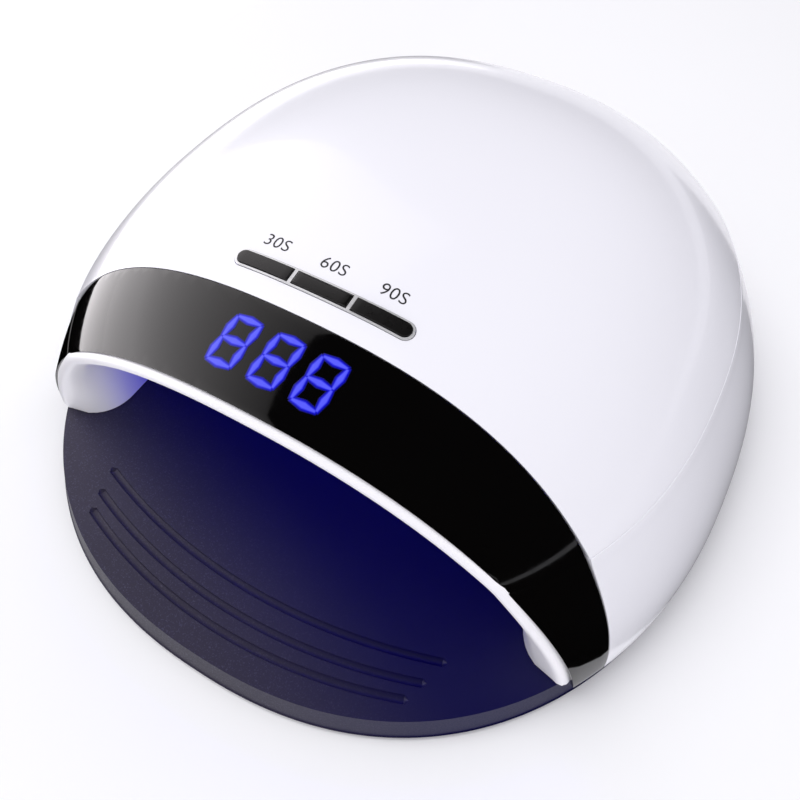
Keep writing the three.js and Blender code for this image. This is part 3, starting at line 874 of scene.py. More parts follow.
def read_layout() -> Layout:
    """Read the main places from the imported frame."""
    low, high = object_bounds()
    shell_low, shell_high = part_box("top_shell")
    dome = OvalDome(
        half_width=(high[0] - low[0]) / 2, half_depth=(high[1] - low[1]) / 2,
        bottom=shell_low.z, foot=FOOT_HEIGHT, crease=CREASE_HEIGHT, top=shell_high.z, lean=CAP_LEAN,
    )
    opening_y = TRAY_REACH - dome.half_depth
    return Layout(
        dome=dome,
        opening=LeaningCut(opening_y, OPENING_LEAN),
        seam=LeaningCut(opening_y + BAND_WIDTH, SEAM_LEAN),
        tray_top=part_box("base_tray")[1].z,
        button_y=node_centre("button_60s").y - ROW_SHIFT,
        display_y=node_centre("display_module").y - DIGIT_SHIFT,
    )


# ---------------------------------------------------------------- tray


@dataclass
class Tray:
    """Dark tray on four rubber feet, with three arc grooves in front.

    Args:
        layout: Main places.
        edge: Rounding of the rim.
        slope: How far the sides lean in.
        wall_gap: Room inside the housing's skirt.
        rim: Width of the solid rim under the tray.
        plate: Thickness of the tray's plate.
        rib: Thickness of the ribs below.
        groove_insets: How far each groove's middle lies in from the front.
        groove_spans: Half of each groove's length.
        groove_sag: How far a groove's ends lie behind its middle.
        groove_width: Half width of a groove.
        groove_depth: Depth of a groove.
        ribs: Places of the ribs that run front to back.
        pad_wall: Wall round every foot and disc, under the tray.
        fit: Room round a foot or a disc in its recess.
        foot_recess: Depth of a foot's recess, measured both ways.
        disc_recess: Depth of a disc's recess, measured both ways.
    """

    layout: Layout
    edge: float = 0.9 * MM
    slope: float = 2.6 * MM
    wall_gap: float = 3.1 * MM
    rim: float = 7.5 * MM
    plate: float = 2.6 * MM
    rib: float = 2.0 * MM
    groove_insets: tuple[float, ...] = (23.0 * MM, 16.0 * MM, 10.4 * MM)
    groove_spans: tuple[float, ...] = (55.0 * MM, 53.0 * MM, 51.0 * MM)
    groove_sag: float = 9.5 * MM
    groove_width: float = 1.15 * MM
    groove_depth: float = 0.8 * MM
    ribs: tuple[float, ...] = (-30 * MM, 0.0, 30 * MM)
    pad_wall: float = 2.3 * MM
    fit: float = 0.3 * MM
    foot_recess: float = 2 * MM
    disc_recess: float = 4.4 * MM

    def build(self) -> None:
        """Make the tray, its feet and its discs."""
        tray = self.body()
        self.cut_step(tray)
        self.cut_underside(tray)
        for inset, span in zip(self.groove_insets, self.groove_spans):
            self.groove(tray, inset, span)
        shade(tray, 12)
        mount(tray, "tray", "base_tray")
        LOG.info("tray with %d grooves", len(self.groove_insets))
        for index in range(1, 5):
            self.foot(index)
        for index in range(1, 5):
            dress_node(f"tray_disc_{index}", Slot.STEEL)

    def body(self) -> Piece:
        """The full oval plate with a rounded rim."""
        low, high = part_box("base_tray")
        upper = 1.0 - self.slope / self.layout.dome.half_depth
        bm = lathe([(0.0, low.z), (1.0, low.z), (upper, high.z), (0.0, high.z)], 256)
        flat = replace(self.layout.dome, lean=0.0, ridge=0.0)
        flat.warp(bm)
        round_edges(bm, is_corner, self.edge, 10)
        return finish_piece("tray_plate", bm, FINISHES[Slot.TRAY], 50)

    def cut_step(self, tray: Piece) -> None:
        """Draw the tray in under the housing, behind the opening."""
        step = self.layout.dome.bottom - self.wall_gap * 0.1
        block_behind = self.layout.opening.shifted(-0.3 * MM).rear_block(step)
        outside = finish_piece("outside", block_behind, FINISHES[Slot.TRAY])
        inside = self.layout.dome.shrunk(self.wall_gap).solid(-5 * MM)
        carve(outside, inside)
        carve(tray, melt(outside))

    def cut_underside(self, tray: Piece) -> None:
        """Hollow the underside between ribs, with a pad over every foot and disc."""
        low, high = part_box("base_tray")
        roof = high.z - self.plate
        flat = replace(self.layout.dome, lean=0.0, ridge=0.0)
        bm = lathe([(0.0, low.z - 1 * MM), (1.0, low.z - 1 * MM), (1.0, roof), (0.0, roof)], 96)
        flat.warp(bm, self.rim)
        pocket = finish_piece("pocket", bm, FINISHES[Slot.TRAY])
        across, tall = 0.3, 0.03
        for x in self.ribs:
            carve(pocket, block((self.rib, across, tall), (x, 0, 0)))
        carve(pocket, block((across, self.rib, tall), (0, 0, 0)))
        for name in ("foot", "tray_disc"):
            for index in range(1, 5):
                self.recess(pocket, f"{name}_{index}", 0.0, self.pad_wall, tall)
        carve(tray, melt(pocket))
        for index in range(1, 5):
            self.recess(tray, f"foot_{index}", low.z, self.fit, self.foot_recess)
            self.recess(tray, f"tray_disc_{index}", high.z, self.fit, self.disc_recess)

    def recess(self, piece: Piece, name: str, level: float, room: float, length: float) -> None:
        """Cut a round recess about a CAD node, some room wider than the node."""
        centre = node_centre(name)
        place = Matrix.Translation((centre.x, centre.y, level))
        carve(piece, rod(node_size(name).x / 2 + room, length, place))

    def groove(self, tray: Piece, inset: float, span: float) -> None:
        """Cut a round-bottomed groove along an arc, with round ends.

        Args:
            tray: The piece that it is cut into.
            inset: Distance of the groove's middle from the front edge.
            span: Half of its length.
        """
        sag, width, depth = self.groove_sag, self.groove_width, self.groove_depth
        radius = (span ** 2 + sag ** 2) / (2 * sag)
        turn = math.asin(span / radius)
        level = self.layout.tray_top + 0.03 * MM
        middle = Vector((0.0, inset - self.layout.dome.half_depth + radius, level))
        stations, sides = 90, 40
        bm = bmesh.new()
        bmesh.ops.create_uvsphere(bm, u_segments=sides, v_segments=stations, radius=1.0)
        for vert in bm.verts:
            along = math.acos(max(-1.0, min(vert.co.z, 1.0))) / math.pi
            round_end = min(along, 1 - along) * 2 * span / width
            wide = math.sqrt(max(1 - (1 - min(round_end, 1.0)) ** 2, 0.0))
            across = Vector((vert.co.x, vert.co.y))
            across = across.normalized() * wide if across.length > 1e-7 else across
            bearing = (along * 2 - 1) * turn
            reach = radius + across.x * width
            spot = (math.sin(bearing) * reach, -math.cos(bearing) * reach, across.y * depth)
            vert.co = middle + Vector(spot)
        bmesh.ops.recalc_face_normals(bm, faces=bm.faces)
        carve(tray, bm)

    def foot(self, index: int) -> None:
        """A rubber foot with a rounded rim and a shallow ring below."""
        low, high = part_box(f"foot_{index}")
        radius = (high.x - low.x) / 2
        centre = (low + high) / 2
        profile = [(0.0, 0.3 * MM), (radius * 0.5, 0.3 * MM), (radius * 0.62, 0.0), (radius, 0.0),
                   (radius, high.z - low.z), (0.0, high.z - low.z)]
        bm = lathe(profile, 64)
        round_edges(bm, is_corner, 0.4 * MM, 3)
        move(bm, (centre.x, centre.y, low.z))
        piece = finish_piece(f"rubber_foot_{index}", bm, FINISHES[Slot.RUBBER])
        mount(piece, "tray", f"foot_{index}")


def mount(piece: Piece, body: str, node: str | None = None) -> None:
    """Give a piece its body and hide the CAD node that it stands for."""
    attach(piece, body)
    if node:
        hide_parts(node)


def dress_node(name: str, slot: Slot) -> None:
    """Give a carried-over CAD node its finish."""
    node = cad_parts[name]
    node.data.materials.clear()
    node.data.materials.append(FINISHES[slot])


# ---------------------------------------------------------------- housing


@dataclass
class Housing:
    """White lift-off shell with a gloss black band round its mouth.

    Args:
        layout: Main places.
        shell_wall: Thickness of the white shell.
        band_wall: Thickness of the black band.
        seam_gap: Line between band and shell.
        rim_round: Rounding of the shell's edges.
        band_round: Rounding of the band's edges.
        band_ridge: How far the crease stands out on the band.
        jack_hole: Radius of the hole for the power jack.
    """

    layout: Layout
    shell_wall: float = 2.6 * MM
    band_wall: float = 1.3 * MM
    seam_gap: float = 0.25 * MM
    rim_round: float = 0.35 * MM
    band_round: float = 0.6 * MM
    band_ridge: float = 0.7 * MM
    jack_hole: float = 4.25 * MM

    def build(self) -> None:
        """Make the shell and the band."""
        self.shell()
        self.band()
        dress_node("bottom_frame", Slot.DARK)
        for index in range(1, 5):
            dress_node(f"frame_magnet_{index}", Slot.STEEL)
            self.screw(index)

    def wall(self, name: str, bm: Shape, finish: Slot, thickness: float, rounding: float) -> Piece:
        """Turn an open skin into a wall of a thickness with rounded edges.

        Args:
            name: The object's name.
            bm: The skin.
            finish: Its finish.
            thickness: Wall thickness, inwards.
            rounding: Rounding of its edges.
        """
        piece = finish_piece(name, bm, FINISHES[finish])
        thick = piece.modifiers.new("wall", "SOLIDIFY")
        thick.thickness = thickness
        thick.offset = -1.0
        thick.use_even_offset = True
        soft = piece.modifiers.new("soft", "BEVEL")
        soft.width = rounding
        soft.segments = 3
        soft.limit_method = "ANGLE"
        soft.angle_limit = math.radians(50)
        settle(piece)
        return piece

    def shell(self) -> None:
        """The white shell, behind the band, with its slot and jack hole."""
        bm = self.layout.dome.skin()
        self.layout.seam.shifted(self.seam_gap).trim(bm, Keep.BEHIND)
        shell = self.wall("housing_shell", bm, Slot.SHELL, self.shell_wall, self.rim_round)
        low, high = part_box("button_bezel")
        slot = row_outline(low.x - 0.15 * MM, high.x + 0.15 * MM, SURROUND_WIDTH + 0.3 * MM, True, True)
        raise_outline(slot, -6 * MM, 4 * MM)
        slice_along_x(slot, low.x, high.x, 2 * MM)
        self.layout.dome.drape(slot, self.layout.button_y)
        carve(shell, slot)
        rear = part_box("dc_jack")[1].y
        centre = Vector((0, rear, node_centre("dc_jack").z))
        place = Matrix.Translation(centre) @ Matrix.Rotation(math.pi / 2, 4, "X")
        carve(shell, rod(self.jack_hole, 24 * MM, place))
        mount(shell, "housing", "top_shell")
        LOG.info("housing shell")

    def band(self) -> None:
        """The black band between the opening and the seam."""
        bm = replace(self.layout.dome, ridge=self.band_ridge).skin(crease_round=0.15 * MM)
        self.layout.opening.trim(bm, Keep.BEHIND)
        self.layout.seam.trim(bm, Keep.FRONT)
        band = self.wall("mouth_band", bm, Slot.BAND, self.band_wall, self.band_round)
        mount(band, "housing", "front_band")
        LOG.info("mouth band")

    def screw(self, index: int) -> None:
        """A pan-head screw with a cross recess, head down."""
        low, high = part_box(f"screw_{index}")
        centre = node_centre(f"screw_{index}")
        head = (high.x - low.x) / 2
        shank, seat, tip, turns = 1.3 * MM, 1.2 * MM, 1.0 * MM, 12
        profile = [(0.0, 0.0), (head * 0.75, 0.0), (head, 0.5 * MM), (head, seat), (shank, seat)]
        run = high.z - low.z - seat - tip
        for turn in range(turns):
            z = seat + run * (turn + 0.5) / turns
            profile += [(shank * 0.82, z), (shank, z + run * 0.5 / turns)]
        profile += [(0.0, high.z - low.z)]
        bm = lathe(profile, 40)
        move(bm, (centre.x, centre.y, low.z))
        piece = finish_piece(f"frame_screw_{index}", bm, FINISHES[Slot.STEEL])
        for turn in (0.0, math.pi / 2):
            bar = block((0.7 * MM, 3.0 * MM, 1.4 * MM), (0, 0, 0))
            place = Matrix.Translation((centre.x, centre.y, low.z)) @ Matrix.Rotation(turn, 4, "Z")
            set_down(bar, place)
            carve(piece, bar)
        mount(piece, "housing", f"screw_{index}")


# ---------------------------------------------------------------- buttons


BUTTON_NAMES = ("30s", "60s", "90s")
SURROUND_WIDTH = 4.5 * MM


def row_outline(left: float, right: float, width: float, round_left: bool, round_right: bool) -> Shape:
    """A flat strip along X whose ends are round or square.

    Args:
        left: Left end.
        right: Right end.
        width: Width across the row.
        round_left: Whether the left end is round.
        round_right: Whether the right end is round.
    """
    bm = bmesh.new()
    middle = (left + right) / 2
    place = Matrix.Translation((middle, 0, 0)) @ Matrix.Diagonal((right - left, width, 1, 1))
    bmesh.ops.create_grid(bm, x_segments=1, y_segments=1, size=0.5, matrix=place)
    rounds = [vert for vert in bm.verts if (round_left if vert.co.x < middle else round_right)]
    if rounds:
        bmesh.ops.bevel(bm, geom=rounds, offset=width * 0.499, segments=12, profile=0.5,
                        affect="VERTICES", clamp_overlap=True, material=-1)
    return bm


def raise_outline(bm: Shape, low: float, high: float) -> None:
    """Turn a flat shape into a prism from a low to a high level."""
    move(bm, (0, 0, low))
    result = bmesh.ops.extrude_face_region(bm, geom=bm.faces[:])
    raised = [item for item in result["geom"] if isinstance(item, bmesh.types.BMVert)]
    bmesh.ops.translate(bm, verts=raised, vec=(0, 0, high - low))
    bmesh.ops.recalc_face_normals(bm, faces=bm.faces)


@dataclass
class ButtonRow:
    """Three timer buttons in a plated surround, with printed labels above.

    Args:
        layout: Main places.
        rim: Width of the surround's frame.
        gap: Room round each button.
        proud: How far a button stands out.
        rim_proud: How far the surround stands out.
        depth: Depth of the buttons.
        label_height: Height of the printed figures.
        label_offset: Distance of a label from the row.
        label_shift: How far a label sits beside its button's middle.
        step: Length of the steps in which the row follows the dome.
    """

    layout: Layout
    rim: float = 0.42 * MM
    gap: float = 0.18 * MM
    proud: float = 0.75 * MM
    rim_proud: float = 0.3 * MM
    depth: float = 3.2 * MM
    label_height: float = 3.3 * MM
    label_offset: float = 5.1 * MM
    label_shift: float = -0.9 * MM
    step: float = 1.6 * MM

    def build(self) -> None:
        """Make the surround, the buttons and the labels."""
        for index, name in enumerate(BUTTON_NAMES):
            self.button(index, name)
            self.label(index, name)
            dress_node(f"tact_switch_{index + 1}", Slot.DARK)
        self.surround()
        dress_node("button_board", Slot.BOARD)
        LOG.info("button row with %d buttons", len(BUTTON_NAMES))

    def span(self, name: str) -> tuple[float, float]:
        """Left and right end of a button."""
        low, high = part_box(f"button_{name}")
        return low.x, high.x

    def outline(self, index: int, name: str, grow: float) -> Shape:
        """Outline of a button, grown by a distance."""
        left, right = self.span(name)
        width = SURROUND_WIDTH - 2 * (self.rim + self.gap) + 2 * grow
        return row_outline(left - grow, right + grow, width, index == 0, index == 2)

    def soften_top(self, bm: Shape, level: float, radius: float, segments: int) -> None:
        """Round the edges that lie at a level."""
        top = level - 1e-6
        round_edges(bm, lambda edge: all(vert.co.z > top for vert in edge.verts), radius, segments)

    def lay(self, bm: Shape, left: float, right: float) -> None:
        """Cut a flat-built shape into short steps and lay it on the row."""
        slice_along_x(bm, left, right, self.step)
        self.layout.dome.drape(bm, self.layout.button_y)

    def button(self, index: int, name: str) -> None:
        """One gloss button with a softened top edge."""
        bm = self.outline(index, name, 0.0)
        raise_outline(bm, -self.depth, self.proud)
        self.soften_top(bm, self.proud, 0.5 * MM, 5)
        self.lay(bm, *self.span(name))
        piece = finish_piece(f"timer_button_{name}", bm, FINISHES[Slot.BUTTON], 40)
        mount(piece, f"button_{name}_body", f"button_{name}")

    def surround(self) -> None:
        """The plated frame round the three buttons."""
        low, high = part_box("button_bezel")
        bm = row_outline(low.x, high.x, SURROUND_WIDTH, True, True)
        raise_outline(bm, -self.depth, self.rim_proud)
        self.soften_top(bm, self.rim_proud, 0.2 * MM, 4)
        self.lay(bm, low.x, high.x)
        piece = finish_piece("button_surround", bm, FINISHES[Slot.TRIM], 40)
        for index, name in enumerate(BUTTON_NAMES):
            hole = self.outline(index, name, self.gap)
            raise_outline(hole, -self.depth - 2 * MM, self.proud + 2 * MM)
            self.lay(hole, *self.span(name))
            carve(piece, hole)
        mount(piece, "housing", "button_bezel")

    def label(self, index: int, name: str) -> None:
        """The printed time above a button."""
        curve = bpy.data.curves.new(f"label_{name}", "FONT")
        curve.body = name.upper()
        curve.align_x = "CENTER"
        curve.size = self.label_height * 1.38
        curve.space_character = 1.05
        curve.offset = -0.03 * MM
        curve.extrude = 0.02 * MM
        curve.resolution_u = 8
        text = bpy.data.objects.new("text", curve)
        bpy.context.scene.collection.objects.link(text)
        bpy.context.view_layer.update()
        graph = bpy.context.evaluated_depsgraph_get()
        bm = bmesh.new()
        bm.from_mesh(bpy.data.meshes.new_from_object(text.evaluated_get(graph)))
        bpy.data.objects.remove(text)
        left, right = self.span(name)
        shift = ((left + right) / 2 + self.label_shift, self.label_offset, 0.03 * MM)
        move(bm, shift)
        self.layout.dome.drape(bm, self.layout.button_y)
        piece = finish_piece(f"label_{name}", bm, FINISHES[Slot.DARK])
        mount(piece, "housing")


# ---------------------------------------------------------------- display


@dataclass
class Display:
    """Three slanted seven-segment digits lit through the band.

    Args:
        layout: Main places.
        pitch: Distance between digits.
        height: Height of a digit.
        width: Width of a digit.
        stroke: Thickness of a segment.
        halo: Width of the faint light beside a segment.
        slant: Lean of the digits, as X for Y.
    """

    layout: Layout
    pitch: float = 10.84 * MM
    height: float = 12.2 * MM
    width: float = 7.4 * MM
    stroke: float = 1.3 * MM
    halo: float = 0.5 * MM
    slant: float = 0.144

    def build(self) -> None:
        """Make the lit segments and dress the module behind them."""
        bm = bmesh.new()
        for digit in (-1, 0, 1):
            self.digit(bm, digit * self.pitch)
        for vert in bm.verts:
            vert.co.x += vert.co.y * self.slant
        core = bm.verts.layers.float.new("core")
        for vert in bm.verts:
            vert[core] = min(max((vert.co.z - 0.02 * MM) / (0.04 * MM), 0.0), 1.0)
        self.layout.dome.drape(bm, self.layout.display_y)
        glow = LitSegment(
            "display_glow", halo=(0.0, 0.0, 0.004), edge=(0.0, 0.0, 0.62), core=(0.1, 0.11, 1.0),
            strength=1.0,
        )
        piece = finish_piece("display_digits", bm, glow.material(), 60)
        mount(piece, "housing")
        dress_node("display_module", Slot.DISPLAY)
        LOG.info("display digits")

    def digit(self, bm: Shape, x: float) -> None:
        """Add one digit with all seven segments lit."""
        half = self.height / 2 - self.stroke / 2
        side = self.width / 2 - self.stroke / 2
        for level in (-1, 0, 1):
            self.segment(bm, Vector((x, level * half, 0)), 0.0, 2 * side)
        for across in (-1, 1):
            for level in (-0.5, 0.5):
                self.segment(bm, Vector((x + across * side, level * half, 0)), math.pi / 2, half)

    def segment(self, bm: Shape, centre: Vector, turn: float, length: float) -> None:
        """Add one pointed segment with a paler raised middle.

        Args:
            bm: The shape that it is added to.
            centre: Its middle.
            turn: Its angle.
            length: Distance between its two corners.
        """
        piece = bmesh.new()
        wide = self.stroke + 2 * self.halo
        bmesh.ops.create_circle(piece, cap_ends=True, segments=6, radius=wide / math.sqrt(3))
        reach = length / 2 - self.stroke * 0.62
        for vert in piece.verts:
            if abs(vert.co.x) > 1e-6:
                vert.co.x += math.copysign(reach, vert.co.x)
        raise_outline(piece, 0.01 * MM, 0.02 * MM)
        top = [face for face in piece.faces if face.normal.z > 0.5]
        bmesh.ops.inset_region(piece, faces=top, thickness=self.halo, depth=0.02 * MM)
        bmesh.ops.inset_region(piece, faces=top, thickness=self.stroke * 0.3, depth=0.02 * MM)
        place = Matrix.Translation(centre) @ Matrix.Rotation(turn, 4, "Z")
        set_down(piece, place)
        merge(bm, piece)


# ---------------------------------------------------------------- reflector and lamps


@dataclass
class Reflector:
    """White liner of the curing chamber with a rounded lip, and its twelve lamps.

    Args:
        layout: Main places.
        wall: Thickness of the liner.
        seat: How deep the lip's outer edge lies under the dome's surface.
        lip: Width of the lip on the opening plane.
        mouth: Depth over which the lip turns into the liner.
        lamp_proud: How far the lamps' tips stand out of the liner.
        rear_power: Exponent with which the chamber closes at the rear.
        side_power: Exponent of the arch towards its sides.
        roof_power: Exponent of the arch towards its roof.
        room_power: Exponent that blends the arch into the room under the dome.
    """

    layout: Layout
    wall: float = 1.2 * MM
    seat: float = 2.1 * MM
    lip: float = 1.7 * MM
    mouth: float = 12.0 * MM
    lamp_proud: float = 3.2 * MM
    rear_power: float = 3.2
    side_power: float = 0.7
    roof_power: float = 0.8
    room_power: int = 10

    def build(self) -> None:
        """Make the liner and the lamps and dress the boards."""
        self.liner()
        for index in range(1, 13):
            self.lamp(index)
        for name in ("roof_led_board", "left_led_board", "right_led_board"):
            dress_node(name, Slot.BOARD)
        LOG.info("reflector with %d lamps", 12)

    def half_width(self) -> float:
        """Half of the chamber's width, from the side lamps."""
        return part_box("led_10")[0].x + self.lamp_proud

    def roof(self) -> float:
        """Height of the chamber, from the roof lamps."""
        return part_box("led_1")[0].z + self.lamp_proud

    def floor(self) -> float:
        """Height of the liner's lower edge, just over the tray."""
        return self.layout.tray_top + 0.3 * MM

    def arch_on_dome(self, share: float, inset: float) -> Vector:
        """Point of the opening's arch, some depth under the dome.

        Args:
            share: -1 at the left foot, 0 at the top and 1 at the right foot.
            inset: Depth under the dome's surface.
        """
        dome = self.layout.dome.shrunk(inset)
        foot = self.floor()
        low, high = foot, dome.top
        for _ in range(36):
            z = (low + high) / 2
            if abs(self.layout.opening.at(z) - dome.centre(z)) < dome.half_depth * max(dome.scale(z), 0.0):
                low = z
            else:
                high = z
        z = foot + (low - foot) * math.cos(abs(share) * math.pi / 2)
        scale = dome.scale(z)
        y = self.layout.opening.at(z)
        along = min(abs(y - dome.centre(z)) / (dome.half_depth * scale), 1.0)
        across = (1 - along ** dome.oval_power) ** (1 / dome.oval_power)
        return Vector((math.copysign(dome.half_width * scale * across, share), y, z))

    def arch_inside(self, share: float, depth: float, length: float) -> Vector:
        """Point of the chamber's wall at a depth behind the opening.

        Args:
            share: -1 at the left foot, 0 at the top and 1 at the right foot.
            depth: Distance behind the opening plane.
            length: Depth of the whole chamber.
        """
        foot = self.floor()
        close = max(1 - (depth / length) ** self.rear_power, 0.0) ** (1 / self.rear_power)
        angle = abs(share) * math.pi / 2
        x = self.half_width() * close * math.sin(angle) ** self.side_power
        z = (self.roof() - foot) * close * math.cos(angle) ** self.roof_power
        reach = math.hypot(x, z)
        room = self.room(x / max(reach, 1e-9), z / max(reach, 1e-9), self.layout.opening.y + depth)
        soft = -self.room_power
        held = (reach ** soft + room ** soft) ** (1 / soft) / reach if reach > 1e-6 else 0.0
        x, z = x * held, foot + z * held
        return Vector((math.copysign(x, share), self.layout.opening.at(z) + depth, z))

    def room(self, across: float, up: float, y: float) -> float:
        """Distance from the chamber's floor middle to the inside of the shell.

        Args:
            across: X part of the direction.
            up: Z part of the direction.
            y: Place of the section.
        """
        dome = self.layout.dome.shrunk(self.seat + self.lip)
        foot = self.floor()
        low, high = 0.0, dome.half_width
        for _ in range(24):
            reach = (low + high) / 2
            z = foot + up * reach
            scale = max(dome.scale(min(z, dome.top)), 1e-6)
            out = (across * reach / (dome.half_width * scale)) ** dome.oval_power
            out += (abs(y - dome.centre(z)) / (dome.half_depth * scale)) ** dome.oval_power
            if out < 1 and z < dome.top:
                low = reach
            else:
                high = reach
        return max(low, 1e-5)

    def liner(self) -> None:
        """Loft the lip, the bell mouth and the closed chamber as one wall."""
        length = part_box("reflector")[1].y - self.layout.opening.at(0.0) - self.wall
        rows = [("seat", 1.4 * MM), ("seat", 0.5 * MM), ("edge", 0.12 * MM), ("face", 0.25), ("face", 0.6)]
        rows += [("mouth", index / 10) for index in range(0, 11)]
        rows += [("wall", math.sin(index / 22 * math.pi / 2)) for index in range(1, 23)]
        around = 96
        bm = bmesh.new()
        bmesh.ops.create_grid(bm, x_segments=around, y_segments=len(rows) - 1, size=1.0)
        for vert in bm.verts:
            share = vert.co.x
            row = round((vert.co.y + 1) / 2 * (len(rows) - 1))
            vert.co = self.loft_point(share, *rows[row], length)
        bmesh.ops.remove_doubles(bm, verts=bm.verts, dist=2e-6)
        bmesh.ops.recalc_face_normals(bm, faces=bm.faces)
        sample = max(bm.faces, key=lambda face: face.calc_center_median().z)
        if sample.normal.z > 0:
            bmesh.ops.reverse_faces(bm, faces=bm.faces)
        piece = finish_piece("chamber_reflector", bm, FINISHES[Slot.REFLECTOR], 60)
        thick = piece.modifiers.new("wall", "SOLIDIFY")
        thick.thickness = self.wall
        thick.offset = -1.0
        settle(piece, 60)
        mount(piece, "housing", "reflector")

    def loft_point(self, share: float, kind: str, amount: float, length: float) -> Vector:
        """Place one point of the liner's loft.

        Args:
            share: Place along the arch.
            kind: Which stretch of the section the row belongs to.
            amount: Place within that stretch.
            length: Depth of the chamber.
        """
        outer = self.arch_on_dome(share, self.seat)
        if kind == "seat":
            return outer + Vector((0, amount, 0))
        inner = self.arch_on_dome(share, self.seat + self.lip)
        if kind == "edge":
            return outer.lerp(inner, 0.05) + Vector((0, amount, 0))
        if kind == "face":
            return outer.lerp(inner, amount) - Vector((0, 0.3 * MM, 0))
        if kind == "mouth":
            depth = self.mouth * amount
            turn = math.sqrt(max(1 - (1 - amount) ** 2, 0.0))
            wall = self.arch_inside(share, depth, length)
            return (inner + Vector((0, depth, 0))).lerp(wall, turn)
        return self.arch_inside(share, self.mouth + (length - self.mouth) * amount, length)

    def lamp(self, index: int) -> None:
        """A UV lamp: flanged round body with a domed clear lens."""
        name = f"led_{index}"
        low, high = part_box(name)
        centre = (low + high) / 2
        size = high - low
        radius = sorted(size)[1] / 2
        length = min(size)
        rise = radius * 0.85
        profile = [(0.0, 0.0), (radius, 0.0), (radius, 0.9 * MM), (radius * 0.86, 1.1 * MM)]
        for step in range(9):
            angle = step / 8 * math.pi / 2
            profile.append((radius * 0.86 * math.cos(angle), length - rise + rise * math.sin(angle)))
        profile[-1] = (0.0, length)
        bm = lathe(profile, 36)
        if size.z == length:
            place = Matrix.Translation((centre.x, centre.y, high.z)) @ Matrix.Rotation(math.pi, 4, "X")
        else:
            side = math.copysign(1.0, centre.x)
            base = (high.x if side > 0 else low.x, centre.y, centre.z)
            place = Matrix.Translation(base) @ Matrix.Rotation(-side * math.pi / 2, 4, "Y")
        set_down(bm, place)
        piece = finish_piece(f"uv_lamp_{index}", bm, FINISHES[Slot.LENS])
        mount(piece, "housing", name)


# ---------------------------------------------------------------- rear electronics


@dataclass
class RearPower:
    """Control board and the power jack that looks out at the back.

    Args:
        barrel: Radius of the jack's barrel.
        bore: Radius of its bore.
        bore_depth: Depth of the bore.
        pin: Radius of its pin.
        neck: Length of the barrel.
    """

    barrel: float = 3.9 * MM
    bore: float = 2.8 * MM
    bore_depth: float = 10.0 * MM
    pin: float = 1.0 * MM
    neck: float = 7.0 * MM

    def build(self) -> None:
        """Make the jack and dress the board."""
        low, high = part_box("dc_jack")
        centre = (low + high) / 2
        body_depth = high.y - low.y - self.neck
        size = (high.x - low.x, body_depth, high.z - low.z)
        bm = block(size, (centre.x, low.y + body_depth / 2, centre.z))
        round_edges(bm, is_corner, 0.4 * MM, 3)
        merge(bm, self.socket(Vector((centre.x, high.y, centre.z))))
        piece = finish_piece("power_jack", bm, FINISHES[Slot.DARK])
        mount(piece, "housing", "dc_jack")
        dress_node("control_board", Slot.BOARD)
        LOG.info("power jack")

    def socket(self, face: Vector) -> Shape:
        """Barrel, bore and pin as one spun skin that opens backwards.

        Args:
            face: Middle of the barrel's rear face.
        """
        floor = -self.bore_depth
        profile = [
            (0.0, -self.neck - 0.5 * MM), (self.barrel, -self.neck - 0.5 * MM),
            (self.barrel, -0.3 * MM), (self.barrel - 0.3 * MM, 0.0),
            (self.bore + 0.4 * MM, 0.0), (self.bore, -0.5 * MM), (self.bore, floor * 0.6),
            (self.pin, floor * 0.6), (self.pin, -1.6 * MM), (self.pin * 0.6, -1.1 * MM), (0.0, -1.1 * MM),
        ]
        bm = lathe(profile, 64)
        place = Matrix.Translation(face) @ Matrix.Rotation(-math.pi / 2, 4, "X")
        set_down(bm, place)
        return bm


# ---------------------------------------------------------------- studio


BLACK = (0.0, 0.0, 0.0, 1.0)


@dataclass(frozen=True)
class Card:
    """A rectangular soft light.

    Args:
        name: Its name.
        place: Where it hangs.
        aim: What it looks at.
        size: Width and height.
        power: Watts.
        colour: Colour of the light.
    """

    name: str
    place: tuple[float, float, float]
    aim: tuple[float, float, float]
    size: tuple[float, float]
    power: float
    colour: Colour = (1.0, 1.0, 1.0)

    def hang(self) -> None:
        """Add the light to the scene."""
        light = bpy.data.lights.new(self.name, "AREA")
        light.shape = "RECTANGLE"
        light.size, light.size_y = self.size
        light.energy = self.power
        light.color = self.colour
        lamp = bpy.data.objects.new(self.name, light)
        lamp.location = self.place
        look = Vector(self.aim) - Vector(self.place)
        lamp.rotation_euler = look.to_track_quat("-Z", "Y").to_euler()
        lamp.visible_camera = False
        lamp.visible_glossy = False
        bpy.context.scene.collection.objects.link(lamp)


